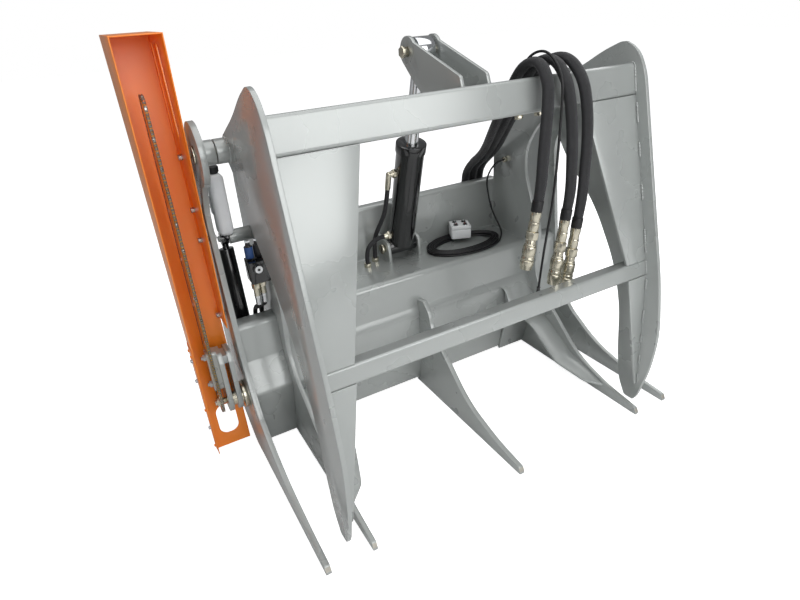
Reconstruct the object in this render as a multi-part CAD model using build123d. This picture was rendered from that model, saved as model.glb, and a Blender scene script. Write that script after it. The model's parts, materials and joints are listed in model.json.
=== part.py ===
from build123d import *
from math import asin, atan2, cos, hypot, pi, radians, sin, tan
import os

# Log grapple with a hydraulic saw, in millimetres.
# X to the right along the cross tubes, Y towards the loader, Z up, Z = 0 under the tines.
# The origin is on the flat underside of the centre tine, at the foot of the beam's front.

# ---- driving dimensions: frame ----
frame_width = 1460.0        # over the outer side plates
outer_plate = 18.0          # thickness of the outer side plates
inner_plate = 16.0          # thickness of the inner side plates
centre_plate = 20.0         # thickness of the centre tine
bay_width = 136.0           # between an outer and an inner side plate
tine_reach = 655.0          # tine tip to the origin
tip_height = 26.0           # height of a tine at its tip
shelf_z = 512.0             # top of the shelf
shelf_depth = 245.0         # origin to the front face of the attaching plate
bay_depth = 60.0            # how far the shelf runs back in the side bays
skin = 10.0                 # folded front plate
fold_radius = 22.0
window_round = 40.0
trough_t = 12.0
wing_width = 95.0
window_inset = 140.0        # inner side plate to the end of the opening in the folded plate
window_top = 345.0          # height of its upper edge
attach_height = 460.0       # attaching plate, bottom ledge to top lip
attach_plate_t = 10.0
attach_lip = 50.0           # depth of the top lip
lip_bend = 14.0
ledge_depth = 75.0          # depth of the lower ledge
lock_slot_inset = 52.0      # lock-pin slot's middle to the end of the ledge
lock_slot_length = 60.0
lock_slot_width = 32.0
lock_slot_y = 37.0          # slot centre behind the attaching plate
lug_plate = 12.0

# ---- driving dimensions: jaw ----
pivot_y = -20.0
pivot_z = 1100.0
head_radius = 94.0          # round head of each outer plate about the pivot
inner_head = 88.0           # and of each inner plate
jaw_side_gap = 78.0         # outer side plate to the jaw plate
jaw_plate = 14.0
boss_radius = 36.5
pin_radius = 20.0
pin_fit = 0.05              # running clearance of each pivot, radial
outer_boss = 38.0           # length of the frame boss on each outer plate
boss_gap = 3.0              # side play between a frame boss and a jaw boss
inner_boss = 12.0           # length of the jaw boss towards the middle
pin_head = (27.0, 6.0)      # radius and thickness of each pin's round head
jaw_head = 47.0             # round head of each jaw plate about the pivot
top_tube = 100.0            # square section of the upper tube
low_tube = 58.0             # square section of the lower tube
top_wall = 6.0
low_wall = 5.0
tube_lean = 11.5            # degrees that both tubes lean with the jaw
flange_t = 10.0
top_bend = 12.0             # outside corner radius of each tube
low_bend = 8.0
top_corner = (-394.0, 1240.0)   # front top edge of the upper tube
low_corner = (-549.0, 600.0)    # front top edge of the lower tube
gusset_foot = (-596.0, 90.0)    # lowest point of the lower gussets
upper_gusset = (232.0, 95.0)    # width at its top and at its foot
lower_gusset = (90.0, 14.0)
tube_bolt_x = (160.0, 236.0)
tube_bolt_head = 12.0

# ---- driving dimensions: lift cylinder ----
lift_x = 35.0               # the cylinder stands a little right of the middle
lift_base_y = 185.0
lift_base_z = 566.0
lift_top_y = -33.0
lift_top_z = 1312.0
barrel_radius = 52.5
barrel_wall = 8.0
barrel_length = 455.0       # base pin to the end of the gland
rod_radius = 25.0
rod_fit = 0.05
piston_at = 300.0           # from the base pin, with the jaw shut
base_eye = 32.0
ear_head = 46.0
upper_port = 342.0
lower_port = 62.0
port_radius = 11.0
port_drop = 60.0
port_reach = 32.0           # from the barrel's side to the elbow's middle
lift_pin = 15.0             # radius of both cylinder pins
ear_spacing = 94.0          # between the middles of the two ears
ear_plate = 12.0
lug_spacing = 140.0
open_play = 11.5            # radial play in the rod eye, the pivot that is left open
eye_radius = 42.0
eye_width = 60.0

# ---- driving dimensions: saw ----
saw_y = 30.0                # axis of the saw's swing and of its drive
saw_z = 225.0
bar_stand = 92.0            # outer side plate to the middle of the guide bar
bar_t = 6.6
bar_nose = (40.0, 1224.0)   # middle of its rounded nose
belly = 60.0                # half width of the bar at its widest, behind the axis
chain_t = 10.0
chain_height = 13.0
sprocket_radius = 30.0
sprocket_teeth = 9
nose_radius = 26.0
hub_radius = 30.0
hub_fit = 0.05
bearing_radius = 42.0       # hole in the side plate for the saw's bearing
drive_radius = 10.0         # shaft of the sprocket
motor_radius = 40.0
motor_inset = 67.0          # outer side plate's inner face to the motor
motor_length = 52.0
arm_rise = 205.0            # swing axis to the top of the arm
arm_plate = 16.0
arm_half = 45.0             # half width of the arm, and its round foot
clamp_rise = (81.0, 191.0)  # swing axis to the two clamp bolts
clamp_shift = 4.0           # clamp bolts behind the axis
clamp_bolt = 6.0
clamp_t = 8.0
crank_offset = 56.0         # swing axis to the rod's pin
swing_half = 47.5           # degrees each side of the crank's middle position
swing_inset = 44.0          # outer side plate's inner face to the swing cylinder's middle
swing_top_y = 151.0
swing_top_z = 777.0
swing_pin = 8.0
swing_radius = 25.0
swing_rod_r = 10.0
swing_barrel_length = 340.0
swing_piston = 190.0        # from its top pin, with the saw up
swing_play = 9.8            # radial play in its rod eye, left open like the lift's
guard_wide = 129.0          # over the guard's two walls
guard_gap = 15.0            # side plate to the guard's right wall
guard_t = 3.0
guard_top = 1420.0
guard_foot = 5.0
guard_wall_foot = 520.0     # lower edge of the right wall, clear of the saw's arm
guard_window = (70.0, 120.0)    # opening in the guard's back, width and height
guard_window_z = 110.0
guard_bolt_y = 90.0
guard_bolt_z = (532.0, 810.0, 912.0, 1078.0)
guard_bolt_r = 5.0

# ---- driving dimensions: hoses and cable ----
hose_radius = 16.0
small_hose = 9.0
cable_radius = 4.0
gland_y = 160.0
gland_z = 834.0
gland_radius = 8.0

power_radius = 4.0          # thin cable that runs with the hoses
coupler_length = (196.0, 232.0, 218.0)
ferrule_radius = 17.0
bracket_hex = 36.0
bracket_t = 8.0
bracket_z = 600.0
bay_hose_r = 8.0
bay_ports = ((50.0, -6.0), (27.0, 2.0))      # from the inner side plate, and y
shelf_ports = ((-163.0, 174.0), (-111.0, 208.0))     # from the lift cylinder, and y
shelf_port_rise = 16.0

# ---- driving dimensions: small equipment ----
bottle_inset = 47.0         # outer side plate's inner face to the bottle's middle
bottle_y = 107.0
bottle_z = 805.0
bottle_size = (50.0, 62.0, 205.0)
valve_y = 12.0
valve_z = 695.0
valve_size = (62.0, 64.0, 76.0)
valve_plug = 17.0           # radius of the plug in the valve block's front
coil_can = 14.0             # radius of each solenoid coil
tee_z = 400.0
tee_size = (64.0, 60.0, 48.0)
tee_y = 103.0
cover_place = (110.0, 661.0)    # round cover on the left inner plate
cover_radius = 61.0
box_long = 86.0
box_wide = 80.0
box_tall = 58.0
box_shift = (19.0, 58.0)    # box's middle from the coil's middle
box_turn = -24.0
button_r = 8.0
button_gap = 0.5
button_hole = 14.0
button_stand = 7.0          # button above the lid
button_travel = 4.0
button_places = ((-20.0, -18.0), (20.0, -18.0), (-20.0, 18.0), (20.0, 18.0))
coil_inset = 245.0          # inner side plate to the coil's middle
coil_y = 128.0
coil_long = 188.0
coil_short = 114.0
coil_band = 58.0
coil_tall = 18.0
coil_end_z = 522.0

# ---- places worked out from the sizes above ----
fold_top = (0.0, shelf_z)
fold_knee = (-10.0, shelf_z - 140.0)
fold_hip = (-66.0, shelf_z - 250.0)
fold_foot = (-2.0, 8.0)
outer_out = frame_width / 2
outer_in = outer_out - outer_plate
inner_out = outer_in - bay_width
inner_in = inner_out - inner_plate
jaw_out = outer_in - jaw_side_gap
jaw_in = jaw_out - jaw_plate
outer_boss_end = outer_in - outer_boss
inner_boss_end = jaw_in - inner_boss - boss_gap
attach_top = shelf_z + 223.0
attach_bottom = attach_top - attach_height
plate_rear = shelf_depth - 45.0
bar_x = -outer_out - bar_stand
guard_right = -outer_out - guard_gap
guard_left = guard_right - guard_wide
motor_left = -outer_in + motor_inset
swing_x = -outer_in + swing_inset
bottle_x = -outer_in + bottle_inset
coil_x = inner_in - coil_inset
shelf_port_top = shelf_z + shelf_port_rise
window_half = inner_in - window_inset
easy = -1.0                 # a corner as round as its neighbours allow
sides = (-1, 1)
names = {-1: "left", 1: "right"}

os.makedirs("parts", exist_ok=True)


def save(shape, node):
    """Write one node."""
    export_step(shape, f"parts/{node}.step")


def group(solids):
    return Compound(children=list(solids))


def outline(corners):
    """Closed face in (y, z) from corners (y, z, radius).

    Radius 0 keeps a corner sharp, and easy gives it the largest round that its two sides allow.
    """
    face = make_face(Polyline(*[(y, z) for y, z, r in corners], close=True))
    rounds = []
    for before, here, after in zip(corners[-1:] + corners[:-1], corners, corners[1:] + corners[:1]):
        arriving = Vector(here[0] - before[0], here[1] - before[1])
        leaving = Vector(after[0] - here[0], after[1] - here[1])
        half_turn = radians(arriving.get_angle(leaving)) / 2
        largest = 0.45 * min(arriving.length, leaving.length) / tan(half_turn)
        rounds.append(largest if here[2] == easy else here[2])
    for (y, z, r), size in zip(corners, rounds):
        if size:
            corner = face.vertices().sort_by_distance((y, z, 0))[0]
            face = fillet(corner, size)
    return face


def folded(points, thickness, radius, side):
    """Section of a folded plate: the points run along one skin, the metal lies on the given side."""
    line = FilletPolyline(*points, radius=radius)
    return make_face(offset(line, amount=thickness, side=side).edges())


def slab(face, x_a, x_b):
    """Plate parallel to YZ between two x values, from a face drawn in (y, z)."""
    low, high = min(x_a, x_b), max(x_a, x_b)
    return extrude(Plane.YZ.offset(low) * face, high - low)


def bar_x_axis(x_a, x_b, y, z, radius):
    """Round bar along X."""
    return slab(Pos(y, z) * Circle(radius), x_a, x_b)


def round_bar(start, end, radius):
    """Round bar between two points."""
    line = Vector(*end) - Vector(*start)
    return extrude(Plane(origin=start, z_dir=line) * Circle(radius), line.length)


def ring(start, end, radius, bore):
    """Tube between two points."""
    line = Vector(*end) - Vector(*start)
    plane = Plane(origin=start, z_dir=line)
    return extrude(plane * (Circle(radius) - Circle(bore)), line.length)


def hexagon(start, end, across_flats):
    """Hexagonal bar between two points."""
    line = Vector(*end) - Vector(*start)
    plane = Plane(origin=start, z_dir=line)
    return extrude(plane * RegularPolygon(across_flats / 2, 6, major_radius=False), line.length)


def routed_tube(points, radius, name):
    """Tube of straight runs joined by tangent arcs, each arc as large as its two runs allow."""
    path = [Vector(*p) for p in points]
    radii = []
    for before, here, after in zip(path, path[1:], path[2:]):
        arriving, leaving = here - before, after - here
        half_turn = radians(arriving.get_angle(leaving)) / 2
        shorter = min(arriving.length, leaving.length)
        radii.append(0.45 * shorter / tan(half_turn))
    wire = FilletPolyline(*points, radius=radii)
    tube = sweep(Plane(origin=points[0], z_dir=path[1] - path[0]) * Circle(radius), path=wire)
    print(f"{name}: length {wire.length:.0f}, radii {[round(r) for r in radii]}")
    print(f"{name}: volume ratio {tube.volume / (pi * radius ** 2 * wire.length):.4f}")
    return tube


# ---- frame plates ----
tine_top = [
    (-180, 242, easy), (-338, 101, easy), (-513, 45, easy), (-tine_reach + 10, tip_height, 8),
    (-tine_reach, 6, 0), (-tine_reach, 0, 0)]


def head_disc(radius):
    return Pos(pivot_y, pivot_z) * Circle(radius)


def outer_profile():
    """Outer side plate: round head, neck, straight leg and tine."""
    corners = [
        (-116, 1080, 10), (-14, 992, easy), (38, 898, easy), (26, 798, easy), (8, 640, easy),
        (-6, shelf_z + 12, easy), (-30, 380, easy), (-80, 262, easy), (-125, 190, easy),
        (-300, 82, easy), (-500, 38, easy), (-tine_reach + 10, tip_height, 8),
        (-tine_reach, 6, 0), (-tine_reach, 0, 0), (20, 0, 60), (plate_rear, 110, 40),
        (plate_rear, 960, 120), (90, 1120, easy), (pivot_y, pivot_z + head_radius, 0),
        (pivot_y, pivot_z, 0)]
    return outline(corners) + head_disc(head_radius)


def inner_profile():
    """Inner side plate: the same head, a rounded nose ahead of the shelf, and a deeper rear."""
    corners = [
        (-116, 1080, 10), (-14, 992, easy), (42, 898, easy), (40, 798, easy), (-17, 671, easy),
        (-68, 590, easy), (-62, 490, easy), (-52, 400, easy), (-100, 300, easy)] + tine_top + [
        (20, 0, 60), (shelf_depth, 110, 30), (shelf_depth, 1000, 150), (90, 1122, easy),
        (pivot_y, pivot_z + inner_head, 0), (pivot_y, pivot_z, 0)]
    return outline(corners) + head_disc(inner_head)


def side_plate(face, x_a, x_b):
    """Side plate bored for the jaw pin."""
    return slab(face, x_a, x_b) - bar_x_axis(x_a, x_b, pivot_y, pivot_z, pin_radius)


def outer_plate(side):
    plate = side_plate(outer_profile(), side * outer_in, side * outer_out)
    if side > 0:
        return plate
    plate -= bar_x_axis(-outer_out, -outer_in, saw_y, saw_z, bearing_radius)
    for z in guard_bolt_z:
        plate -= bar_x_axis(-outer_out, -outer_in, guard_bolt_y, z, guard_bolt_r)
    return plate


def inner_plate(side):
    plate = side_plate(inner_profile(), side * inner_in, side * inner_out)
    if side > 0:
        plate -= bar_x_axis(inner_in, inner_out, gland_y, gland_z, gland_radius)
    return plate


# ---- beam ----
def front_skin(rear, x_a, x_b):
    """Shelf and front of the beam, folded from one plate."""
    points = [(rear, shelf_z), fold_top, fold_knee, fold_hip, fold_foot]
    return slab(folded(points, skin, fold_radius, Side.LEFT), x_a, x_b)


def beam_skin():
    """Middle stretch between the inner side plates, with the wide opening at its foot."""
    height = window_top - fold_foot[1]
    shape = Rectangle(2 * window_half, 2 * height)
    shape = fillet(shape.vertices(), window_round)
    window = extrude(Plane.XZ * Pos(0, fold_foot[1]) * shape, 150, both=True)
    return front_skin(shelf_depth, -inner_in, inner_in) - window


def bay_skins():
    return group([front_skin(bay_depth, s * inner_out, s * outer_in) for s in sides])


def trough_plate():
    """Upright plate behind the opening, with a cheek at each end."""
    front = [(-21, window_top + 20), (-6, fold_foot[1])]
    rear = [(-6 + trough_t, fold_foot[1]), (-21 + trough_t, window_top + 20)]
    sheet = slab(make_face(Polyline(*front, *rear, close=True)), -window_half - skin, window_half + skin)
    fill = make_face(Polyline(fold_hip, fold_knee, (-21, window_top), front[1], fold_foot, close=True))
    for side in sides:
        sheet += slab(fill, side * window_half, side * (window_half + skin))
    whole = sheet - front_skin(shelf_depth, -inner_in, inner_in)
    return whole.solids().sort_by(SortBy.VOLUME)[-1]


def centre_tine(front, back):
    """Middle tine: it stands against the beam, hooks over the lip and passes under both plates."""
    corners = tine_top + [
        (20, 0, 0), (20, 8, 0), (-3, 8, 0), (-15, window_top - 6, 0), (-18, window_top, 0),
        (-4, fold_knee[1], 0), (-3, 402, 0), (-52, 410, 12), (-92, 372, easy), (-104, 318, easy)]
    plate = slab(outline(corners), -centre_plate / 2, centre_plate / 2) - front - back
    return plate.solids().sort_by(SortBy.VOLUME)[-1]


def attach_plate():
    """Loader side: upright plate, top lip folded down, lower ledge with two lock-pin slots."""
    rear = shelf_depth + attach_plate_t
    path = [
        (shelf_depth, attach_bottom), (shelf_depth, attach_top),
        (shelf_depth + attach_lip, attach_top), (shelf_depth + attach_lip, attach_top - 25)]
    plate = slab(folded(path, attach_plate_t, lip_bend, Side.RIGHT), -inner_out, inner_out)
    ledge = Pos(0, shelf_depth + ledge_depth / 2 + 5, attach_bottom + 6) * Box(
        2 * inner_out, ledge_depth - 10, 12)
    slot = extrude(SlotOverall(lock_slot_length, lock_slot_width), 40, both=True)
    for side in sides:
        place = (side * (inner_out - lock_slot_inset), rear + lock_slot_y, attach_bottom)
        ledge -= Pos(*place) * slot
    return plate + ledge


def tine_wings():
    """Sloping webs from the inner side plates towards the middle, rounded towards the tips."""
    path = [(-54, 206), (-150, 186), (-300, 92), (-492, 32)]
    web = folded(path, 10, 160, Side.RIGHT)
    outer_edge = inner_in - wing_width
    corners = ((outer_edge, -320), (outer_edge + 40, -440))
    shape = make_face(Polyline(
        (inner_in, -40), (outer_edge, -40), *corners, (inner_in, -488), close=True))
    for corner in corners:
        shape = fillet(shape.vertices().sort_by_distance((*corner, 0))[0], 46)
    stamp = extrude(shape, attach_top)
    right = (slab(web, outer_edge, inner_in) & stamp).solids()[0]
    return group([right, mirror(right, Plane.YZ)])


def lift_lugs():
    """Two upright lugs on the shelf for the lift cylinder's base pin."""
    rise = lift_base_z + 40
    face = outline([
        (lift_base_y - 40, shelf_z, 0), (lift_base_y - 32, rise - 12, 22),
        (shelf_depth, rise + 8, 0), (shelf_depth, shelf_z, 0)])
    face -= Pos(lift_base_y, lift_base_z) * Circle(lift_pin)
    middles = [lift_x + side * lug_spacing / 2 for side in sides]
    return group([slab(face, x - lug_plate / 2, x + lug_plate / 2) for x in middles])


# ---- jaw pivots ----
def frame_bosses():
    """Welded bosses of the frame on both sides of each jaw plate."""
    parts = []
    for side in sides:
        for a, b in ((outer_boss_end, outer_in), (inner_out, inner_boss_end)):
            parts.append(ring(
                (side * a, pivot_y, pivot_z), (side * b, pivot_y, pivot_z), boss_radius, pin_radius))
    return group(parts)


def jaw_bosses():
    """Bosses of the jaw, welded to both faces of each jaw plate; they turn on the pins."""
    parts = []
    for side in sides:
        for a, b in ((jaw_out, outer_boss_end - boss_gap), (jaw_in - inner_boss, jaw_in)):
            parts.append(ring(
                (side * a, pivot_y, pivot_z), (side * b, pivot_y, pivot_z),
                boss_radius, pin_radius + pin_fit))
    return group(parts)


def frame_pins():
    """Both jaw pins with their round heads, and the lift cylinder's base pin."""
    head, thick = pin_head
    pins = []
    for side in sides:
        pin = bar_x_axis(side * (inner_in - 4), side * outer_out, pivot_y, pivot_z, pin_radius)
        pins.append(pin + bar_x_axis(
            side * outer_out, side * (outer_out + thick), pivot_y, pivot_z, head))
    half = lug_spacing / 2 + lug_plate / 2 + 8
    base = bar_x_axis(lift_x - half, lift_x + half, lift_base_y, lift_base_z, lift_pin)
    base += bar_x_axis(lift_x - half - 8, lift_x - half, lift_base_y, lift_base_z, lift_pin + 5)
    return group(pins + [base])


# ---- jaw ----
def jaw_profile():
    """Curved side plate of the jaw, with a round head about the pivot."""
    corners = [
        (pivot_y + 20, pivot_z + 42, easy), (-150, 1208, easy), (-262, 1272, easy), (-345, 1306, easy),
        (-400, 1276, easy), (-437, 1211, easy), (-487, 1011, easy), (-552, 766, easy),
        (-614, 540, easy), (-648, 330, easy), (-636, 170, easy), (-603, 36, easy), (-588, 6, 12),
        (-545, 6, 12), (-510, 66, easy), (-484, 200, easy), (-468, 370, easy), (-414, 540, easy),
        (-285, 747, easy), (-125, 885, easy), (-34, 1030, easy), (pivot_y + 32, pivot_z - 34, 0),
        (pivot_y, pivot_z, 0)]
    return outline(corners) + Pos(pivot_y, pivot_z) * Circle(jaw_head)


def jaw_side(side):
    plate = slab(jaw_profile(), side * jaw_in, side * jaw_out)
    return plate - bar_x_axis(side * jaw_in, side * jaw_out, pivot_y, pivot_z, pin_radius + pin_fit)


def leaning_square(corner, size):
    """Square in (y, z) hung from its front top corner, leaning with the jaw."""
    square = Rectangle(size, size, align=(Align.MIN, Align.MAX))
    return Pos(*corner) * Rot(0, 0, -tube_lean) * square


def cross_tube(corner, size, wall, bend):
    """Square tube between the jaw plates."""
    outer = leaning_square(corner, size)
    outer = fillet(outer.vertices(), bend)
    inner = offset(outer, -wall)
    return slab(outer - inner, -jaw_in, jaw_in)


def tube_corner(corner, size, along, down):
    """Point of a cross tube's section, measured from its front top corner."""
    lean = radians(tube_lean)
    return (
        corner[0] + along * size * cos(lean) - down * size * sin(lean),
        corner[1] - along * size * sin(lean) - down * size * cos(lean))


def gusset(start, end, wide, narrow):
    """Tapered plates across both jaw sides, standing on their faces; start and end are (y, z)."""
    run = Vector(start[0] - end[0], start[1] - end[1])
    plane = Plane(origin=(0, *end), x_dir=(1, 0, 0), z_dir=(0, -run.Y, run.X))
    up = 1 if plane.y_dir.Z > 0 else -1
    top = up * run.length
    face = make_face(Polyline(
        (jaw_in, 0), (jaw_in - narrow, 0), (jaw_in - wide, top), (jaw_in, top), close=True))
    thick = flange_t if plane.z_dir.Y > 0 else -flange_t
    solid = extrude(plane * face, thick)
    return [solid, mirror(solid, Plane.YZ)]


def jaw_flanges(tubes):
    """Four tapered gussets, between the tubes and below the lower one."""
    knee = tube_corner(low_corner, low_tube, 0, 0)
    upper = gusset(tube_corner(top_corner, top_tube, 0, 1), knee, *upper_gusset)
    lower = gusset(tube_corner(low_corner, low_tube, 0, 1), gusset_foot, *lower_gusset)
    return group([(plate - tubes).solids().sort_by(SortBy.VOLUME)[-1] for plate in upper + lower])


def cylinder_ears():
    """Two ears welded on the upper tube, reaching back over the beam to the lift cylinder."""
    rear_top = tube_corner(top_corner, top_tube, 1, 0)
    rear_low = tube_corner(top_corner, top_tube, 1, 0.55)
    foot = tube_corner(top_corner, top_tube, 0.62, 0)
    face = outline([
        (lift_top_y + 12, lift_top_z + ear_head - 2, 0), (-322, 1258, 16), foot + (0,),
        rear_top + (0,), rear_low + (0,), (-110, 1186, easy),
        (lift_top_y + 30, lift_top_z - ear_head + 12, 0), (lift_top_y, lift_top_z, 0)])
    face += Pos(lift_top_y, lift_top_z) * Circle(ear_head)
    face -= Pos(lift_top_y, lift_top_z) * Circle(lift_pin)
    middles = [lift_x + side * ear_spacing / 2 for side in sides]
    return group([slab(face, x - ear_plate / 2, x + ear_plate / 2) for x in middles])


def ear_pin():
    half = ear_spacing / 2 + ear_plate / 2 + 10
    pin = bar_x_axis(lift_x - half, lift_x + half, lift_top_y, lift_top_z, lift_pin)
    head = (lift_x - half, lift_top_y, lift_top_z)
    return pin + hexagon((head[0] - 12, *head[1:]), head, 32)


def tube_bolts():
    """Two bolts under the upper tube, right of the cylinder."""
    parts = []
    for x in tube_bolt_x:
        under = tube_corner(top_corner, top_tube, 0.4, 1)
        low = tube_corner(top_corner, top_tube, 0.4, 1 + tube_bolt_head / top_tube)
        parts.append(hexagon((x, *under), (x, *low), 22))
    return group(parts)


# ---- lift cylinder ----
lift_length = (Vector(lift_top_y, lift_top_z) - Vector(lift_base_y, lift_base_z)).length
lift_lean = atan2(lift_base_y - lift_top_y, lift_top_z - lift_base_z)


def on_lift(distance, x=0.0, across=0.0):
    """Point at a distance from the base pin along the cylinder, x and across from its axis."""
    return (
        lift_x + x,
        lift_base_y - distance * sin(lift_lean) + across * cos(lift_lean),
        lift_base_z + distance * cos(lift_lean) + across * sin(lift_lean))


def lift_barrel():
    """Barrel with its base eye and the collar of its gland; hollow for the rod and piston."""
    reach = lug_spacing / 2 - lug_plate / 2 - 3
    foot = bar_x_axis(lift_x - reach, lift_x + reach, lift_base_y, lift_base_z, base_eye)
    body = round_bar(on_lift(18), on_lift(barrel_length), barrel_radius)
    collar = round_bar(on_lift(barrel_length - 34), on_lift(barrel_length), barrel_radius + 4)
    whole = foot + body + collar
    whole -= round_bar(on_lift(52), on_lift(barrel_length - 34), barrel_radius - barrel_wall)
    whole -= round_bar(on_lift(52), on_lift(barrel_length), rod_radius + rod_fit)
    bore = (lift_x - reach, lift_x + reach, lift_base_y, lift_base_z, lift_pin + pin_fit)
    return whole - bar_x_axis(*bore)


def lift_rod():
    """Rod with piston and eye; the eye's wide bore is the pivot that is left open."""
    rod = round_bar(on_lift(piston_at), on_lift(lift_length - 20), rod_radius)
    rod += round_bar(
        on_lift(piston_at), on_lift(piston_at + 40), barrel_radius - barrel_wall - rod_fit)
    eye = (lift_x - eye_width / 2, lift_x + eye_width / 2, lift_top_y, lift_top_z)
    rod += bar_x_axis(*eye, eye_radius)
    return rod - bar_x_axis(*eye, lift_pin + open_play)


def port(distance, drop):
    """Elbow on the left of the barrel: out to the side, then down along the cylinder."""
    start = on_lift(distance, 4 - barrel_radius)
    knee = on_lift(distance, -barrel_radius - port_reach)
    tail = on_lift(distance - drop, -barrel_radius - port_reach)
    shape = round_bar(start, knee, port_radius) + Pos(*knee) * Sphere(port_radius)
    shape += round_bar(knee, tail, port_radius)
    shape += hexagon(
        on_lift(distance, -barrel_radius - 4), on_lift(distance, -barrel_radius - 16), 30)
    return shape


def lift_ports():
    outer = round_bar(on_lift(40), on_lift(barrel_length), barrel_radius)
    aside = on_lift(lower_port, -barrel_radius - port_reach)
    straight = round_bar(on_lift(lower_port, 4 - barrel_radius), aside, port_radius)
    straight += hexagon(
        on_lift(lower_port, -barrel_radius - 4), on_lift(lower_port, -barrel_radius - 16), 30)
    return group([
        (shape - outer).solids().sort_by(SortBy.VOLUME)[-1]
        for shape in (port(upper_port, port_drop), straight)])


# ---- saw guard ----
guard_front = [(25, guard_foot), (0, 500), (-70, guard_top)]
guard_back = [(200, guard_top), (62, guard_foot)]
guard_slots = [(64, 22), (150, 12)]     # middle in y and width of each slot in the right wall
guard_slot_length = 250.0
guard_slot_drop = 153.0                 # guard's top to the middle of its slots
side_cover = [(30, 15), (10, 465), (84, 465), (56, 15)]     # y, and height over the guard's foot
side_cover_bolts = [(38, 35), (50, 447), (24, 435), (44, 195)]
ahead = 80.0                            # how far a cut reaches out of the guard's open front


def guard_rear_y(z):
    """Outside of the guard's leaning back wall at a height."""
    top, foot = guard_back
    return foot[0] + (top[0] - foot[0]) * (z - foot[1]) / (top[1] - foot[1])


def guard_hollow(low_z, high_z):
    """Section of the space inside the guard between two heights, open to the front."""
    top, foot = guard_back
    wall = guard_t / cos(atan2(top[0] - foot[0], top[1] - foot[1]))
    nearest = min(y for y, z in guard_front) - ahead
    return make_face(Polyline(
        (nearest, low_z), (nearest, high_z), (guard_rear_y(high_z) - wall, high_z),
        (guard_rear_y(low_z) - wall, low_z), close=True))


def saw_guard():
    """Folded sheet: two side walls, a leaning back and a lid; the right wall stops above the arm."""
    shell = slab(make_face(Polyline(*guard_front, *guard_back, close=True)), guard_left, guard_right)
    below = guard_foot - ahead
    shell -= slab(guard_hollow(below, guard_top - guard_t), guard_left + guard_t, guard_right - guard_t)
    shell -= slab(guard_hollow(below, guard_wall_foot), guard_right - guard_t, guard_right)
    middle = (guard_left + guard_right) / 2
    window = Pos(middle, guard_foot + guard_window_z) * RectangleRounded(
        *guard_window, guard_window[0] / 2 - 5)
    shell -= extrude(Plane.XZ * window, 2 * guard_back[0][0], both=True)
    for y, wide in guard_slots:
        place = Pos(y, guard_top - guard_slot_drop) * Rot(0, 0, -4)
        slot = Plane.YZ.offset(guard_right) * place * SlotOverall(guard_slot_length, wide, 90)
        shell -= extrude(slot, 2 * guard_t, both=True)
    for z in guard_bolt_z:
        shell -= bar_x_axis(guard_right - guard_t, guard_right, guard_bolt_y, z, guard_bolt_r)
    return shell


def guard_side_cover():
    """Separate plate over the foot of the guard's left wall."""
    face = outline([(y, guard_foot + rise, 8) for y, rise in side_cover])
    outside = guard_left - guard_t
    plate = slab(face, outside, guard_left)
    for y, rise in side_cover_bolts:
        plate += hexagon((outside - 5, y, guard_foot + rise), (outside, y, guard_foot + rise), 10)
    return plate


def guard_bolts():
    """Bolts through the guard's right wall, their spacers and the nuts on the side plate."""
    parts = []
    for z in guard_bolt_z:
        start = guard_right - guard_t
        bolt = bar_x_axis(start, -outer_in + 12, guard_bolt_y, z, guard_bolt_r)
        bolt += hexagon((start - 6, guard_bolt_y, z), (start, guard_bolt_y, z), 17)
        bolt += hexagon((-outer_in, guard_bolt_y, z), (-outer_in + 8, guard_bolt_y, z), 17)
        bolt += bar_x_axis(guard_right, -outer_out, guard_bolt_y, z, 9)
        parts.append(bolt)
    return group(parts)


# ---- saw ----
arm_right = guard_right - 7
arm_left = bar_x + 22
seat_y = saw_y + clamp_shift
clamp_z = [saw_z + rise for rise in clamp_rise]


def saw_ring(x_a, x_b, radius, bore):
    return ring((x_a, saw_y, saw_z), (x_b, saw_y, saw_z), radius, bore)


def swing_bearing():
    """Flanged bearing in the left side plate for the saw's hub."""
    bush = saw_ring(-outer_out, -outer_in + 8, bearing_radius, hub_radius + hub_fit)
    flange = saw_ring(guard_right, -outer_out, bearing_radius + 8, hub_radius + hub_fit)
    return bush + flange


def arm_face():
    top = saw_z + arm_rise
    face = outline([
        (saw_y - arm_half, saw_z, 0), (saw_y - arm_half + 5, top - 35, 18),
        (saw_y - arm_half + 23, top, 18), (saw_y + arm_half - 3, top, 18),
        (saw_y + arm_half + 7, top - 30, 18), (saw_y + arm_half, saw_z, 0)])
    return face + Pos(saw_y, saw_z) * Circle(arm_half)


def saw_arm():
    """Two arm plates with spacers, clamped on the hub; the bar's seat stands on the left one."""
    face = arm_face() - Pos(saw_y, saw_z) * Circle(hub_radius)
    arm = slab(face, arm_left, arm_left + arm_plate) + slab(face, arm_right - arm_plate, arm_right)
    spacer = Pos(seat_y, saw_z + arm_rise - 28) * Rectangle(60, 30)
    arm += slab(spacer, arm_left + arm_plate, arm_right - arm_plate)
    seat = slab(clamp_face(), bar_x + bar_t / 2, arm_left)
    for z in clamp_z:
        seat -= bar_x_axis(bar_x, arm_left, seat_y, z, clamp_bolt)
        arm -= bar_x_axis(arm_left, arm_left + arm_plate, seat_y, z, clamp_bolt)
    return arm + seat


def crank_middle():
    """Direction of the crank halfway, square to the swing cylinder, in radians."""
    across, rise = swing_top_y - saw_y, swing_top_z - saw_z
    mean = crank_offset * (1 + cos(radians(swing_half))) / 2
    return atan2(rise, across) - pi / 2 + asin(mean / hypot(across, rise))


def crank_place(turn):
    """Rod pin of the crank, turned from its middle position, as (y, z)."""
    angle = crank_middle() + radians(turn)
    return saw_y + crank_offset * cos(angle), saw_z + crank_offset * sin(angle)


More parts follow.
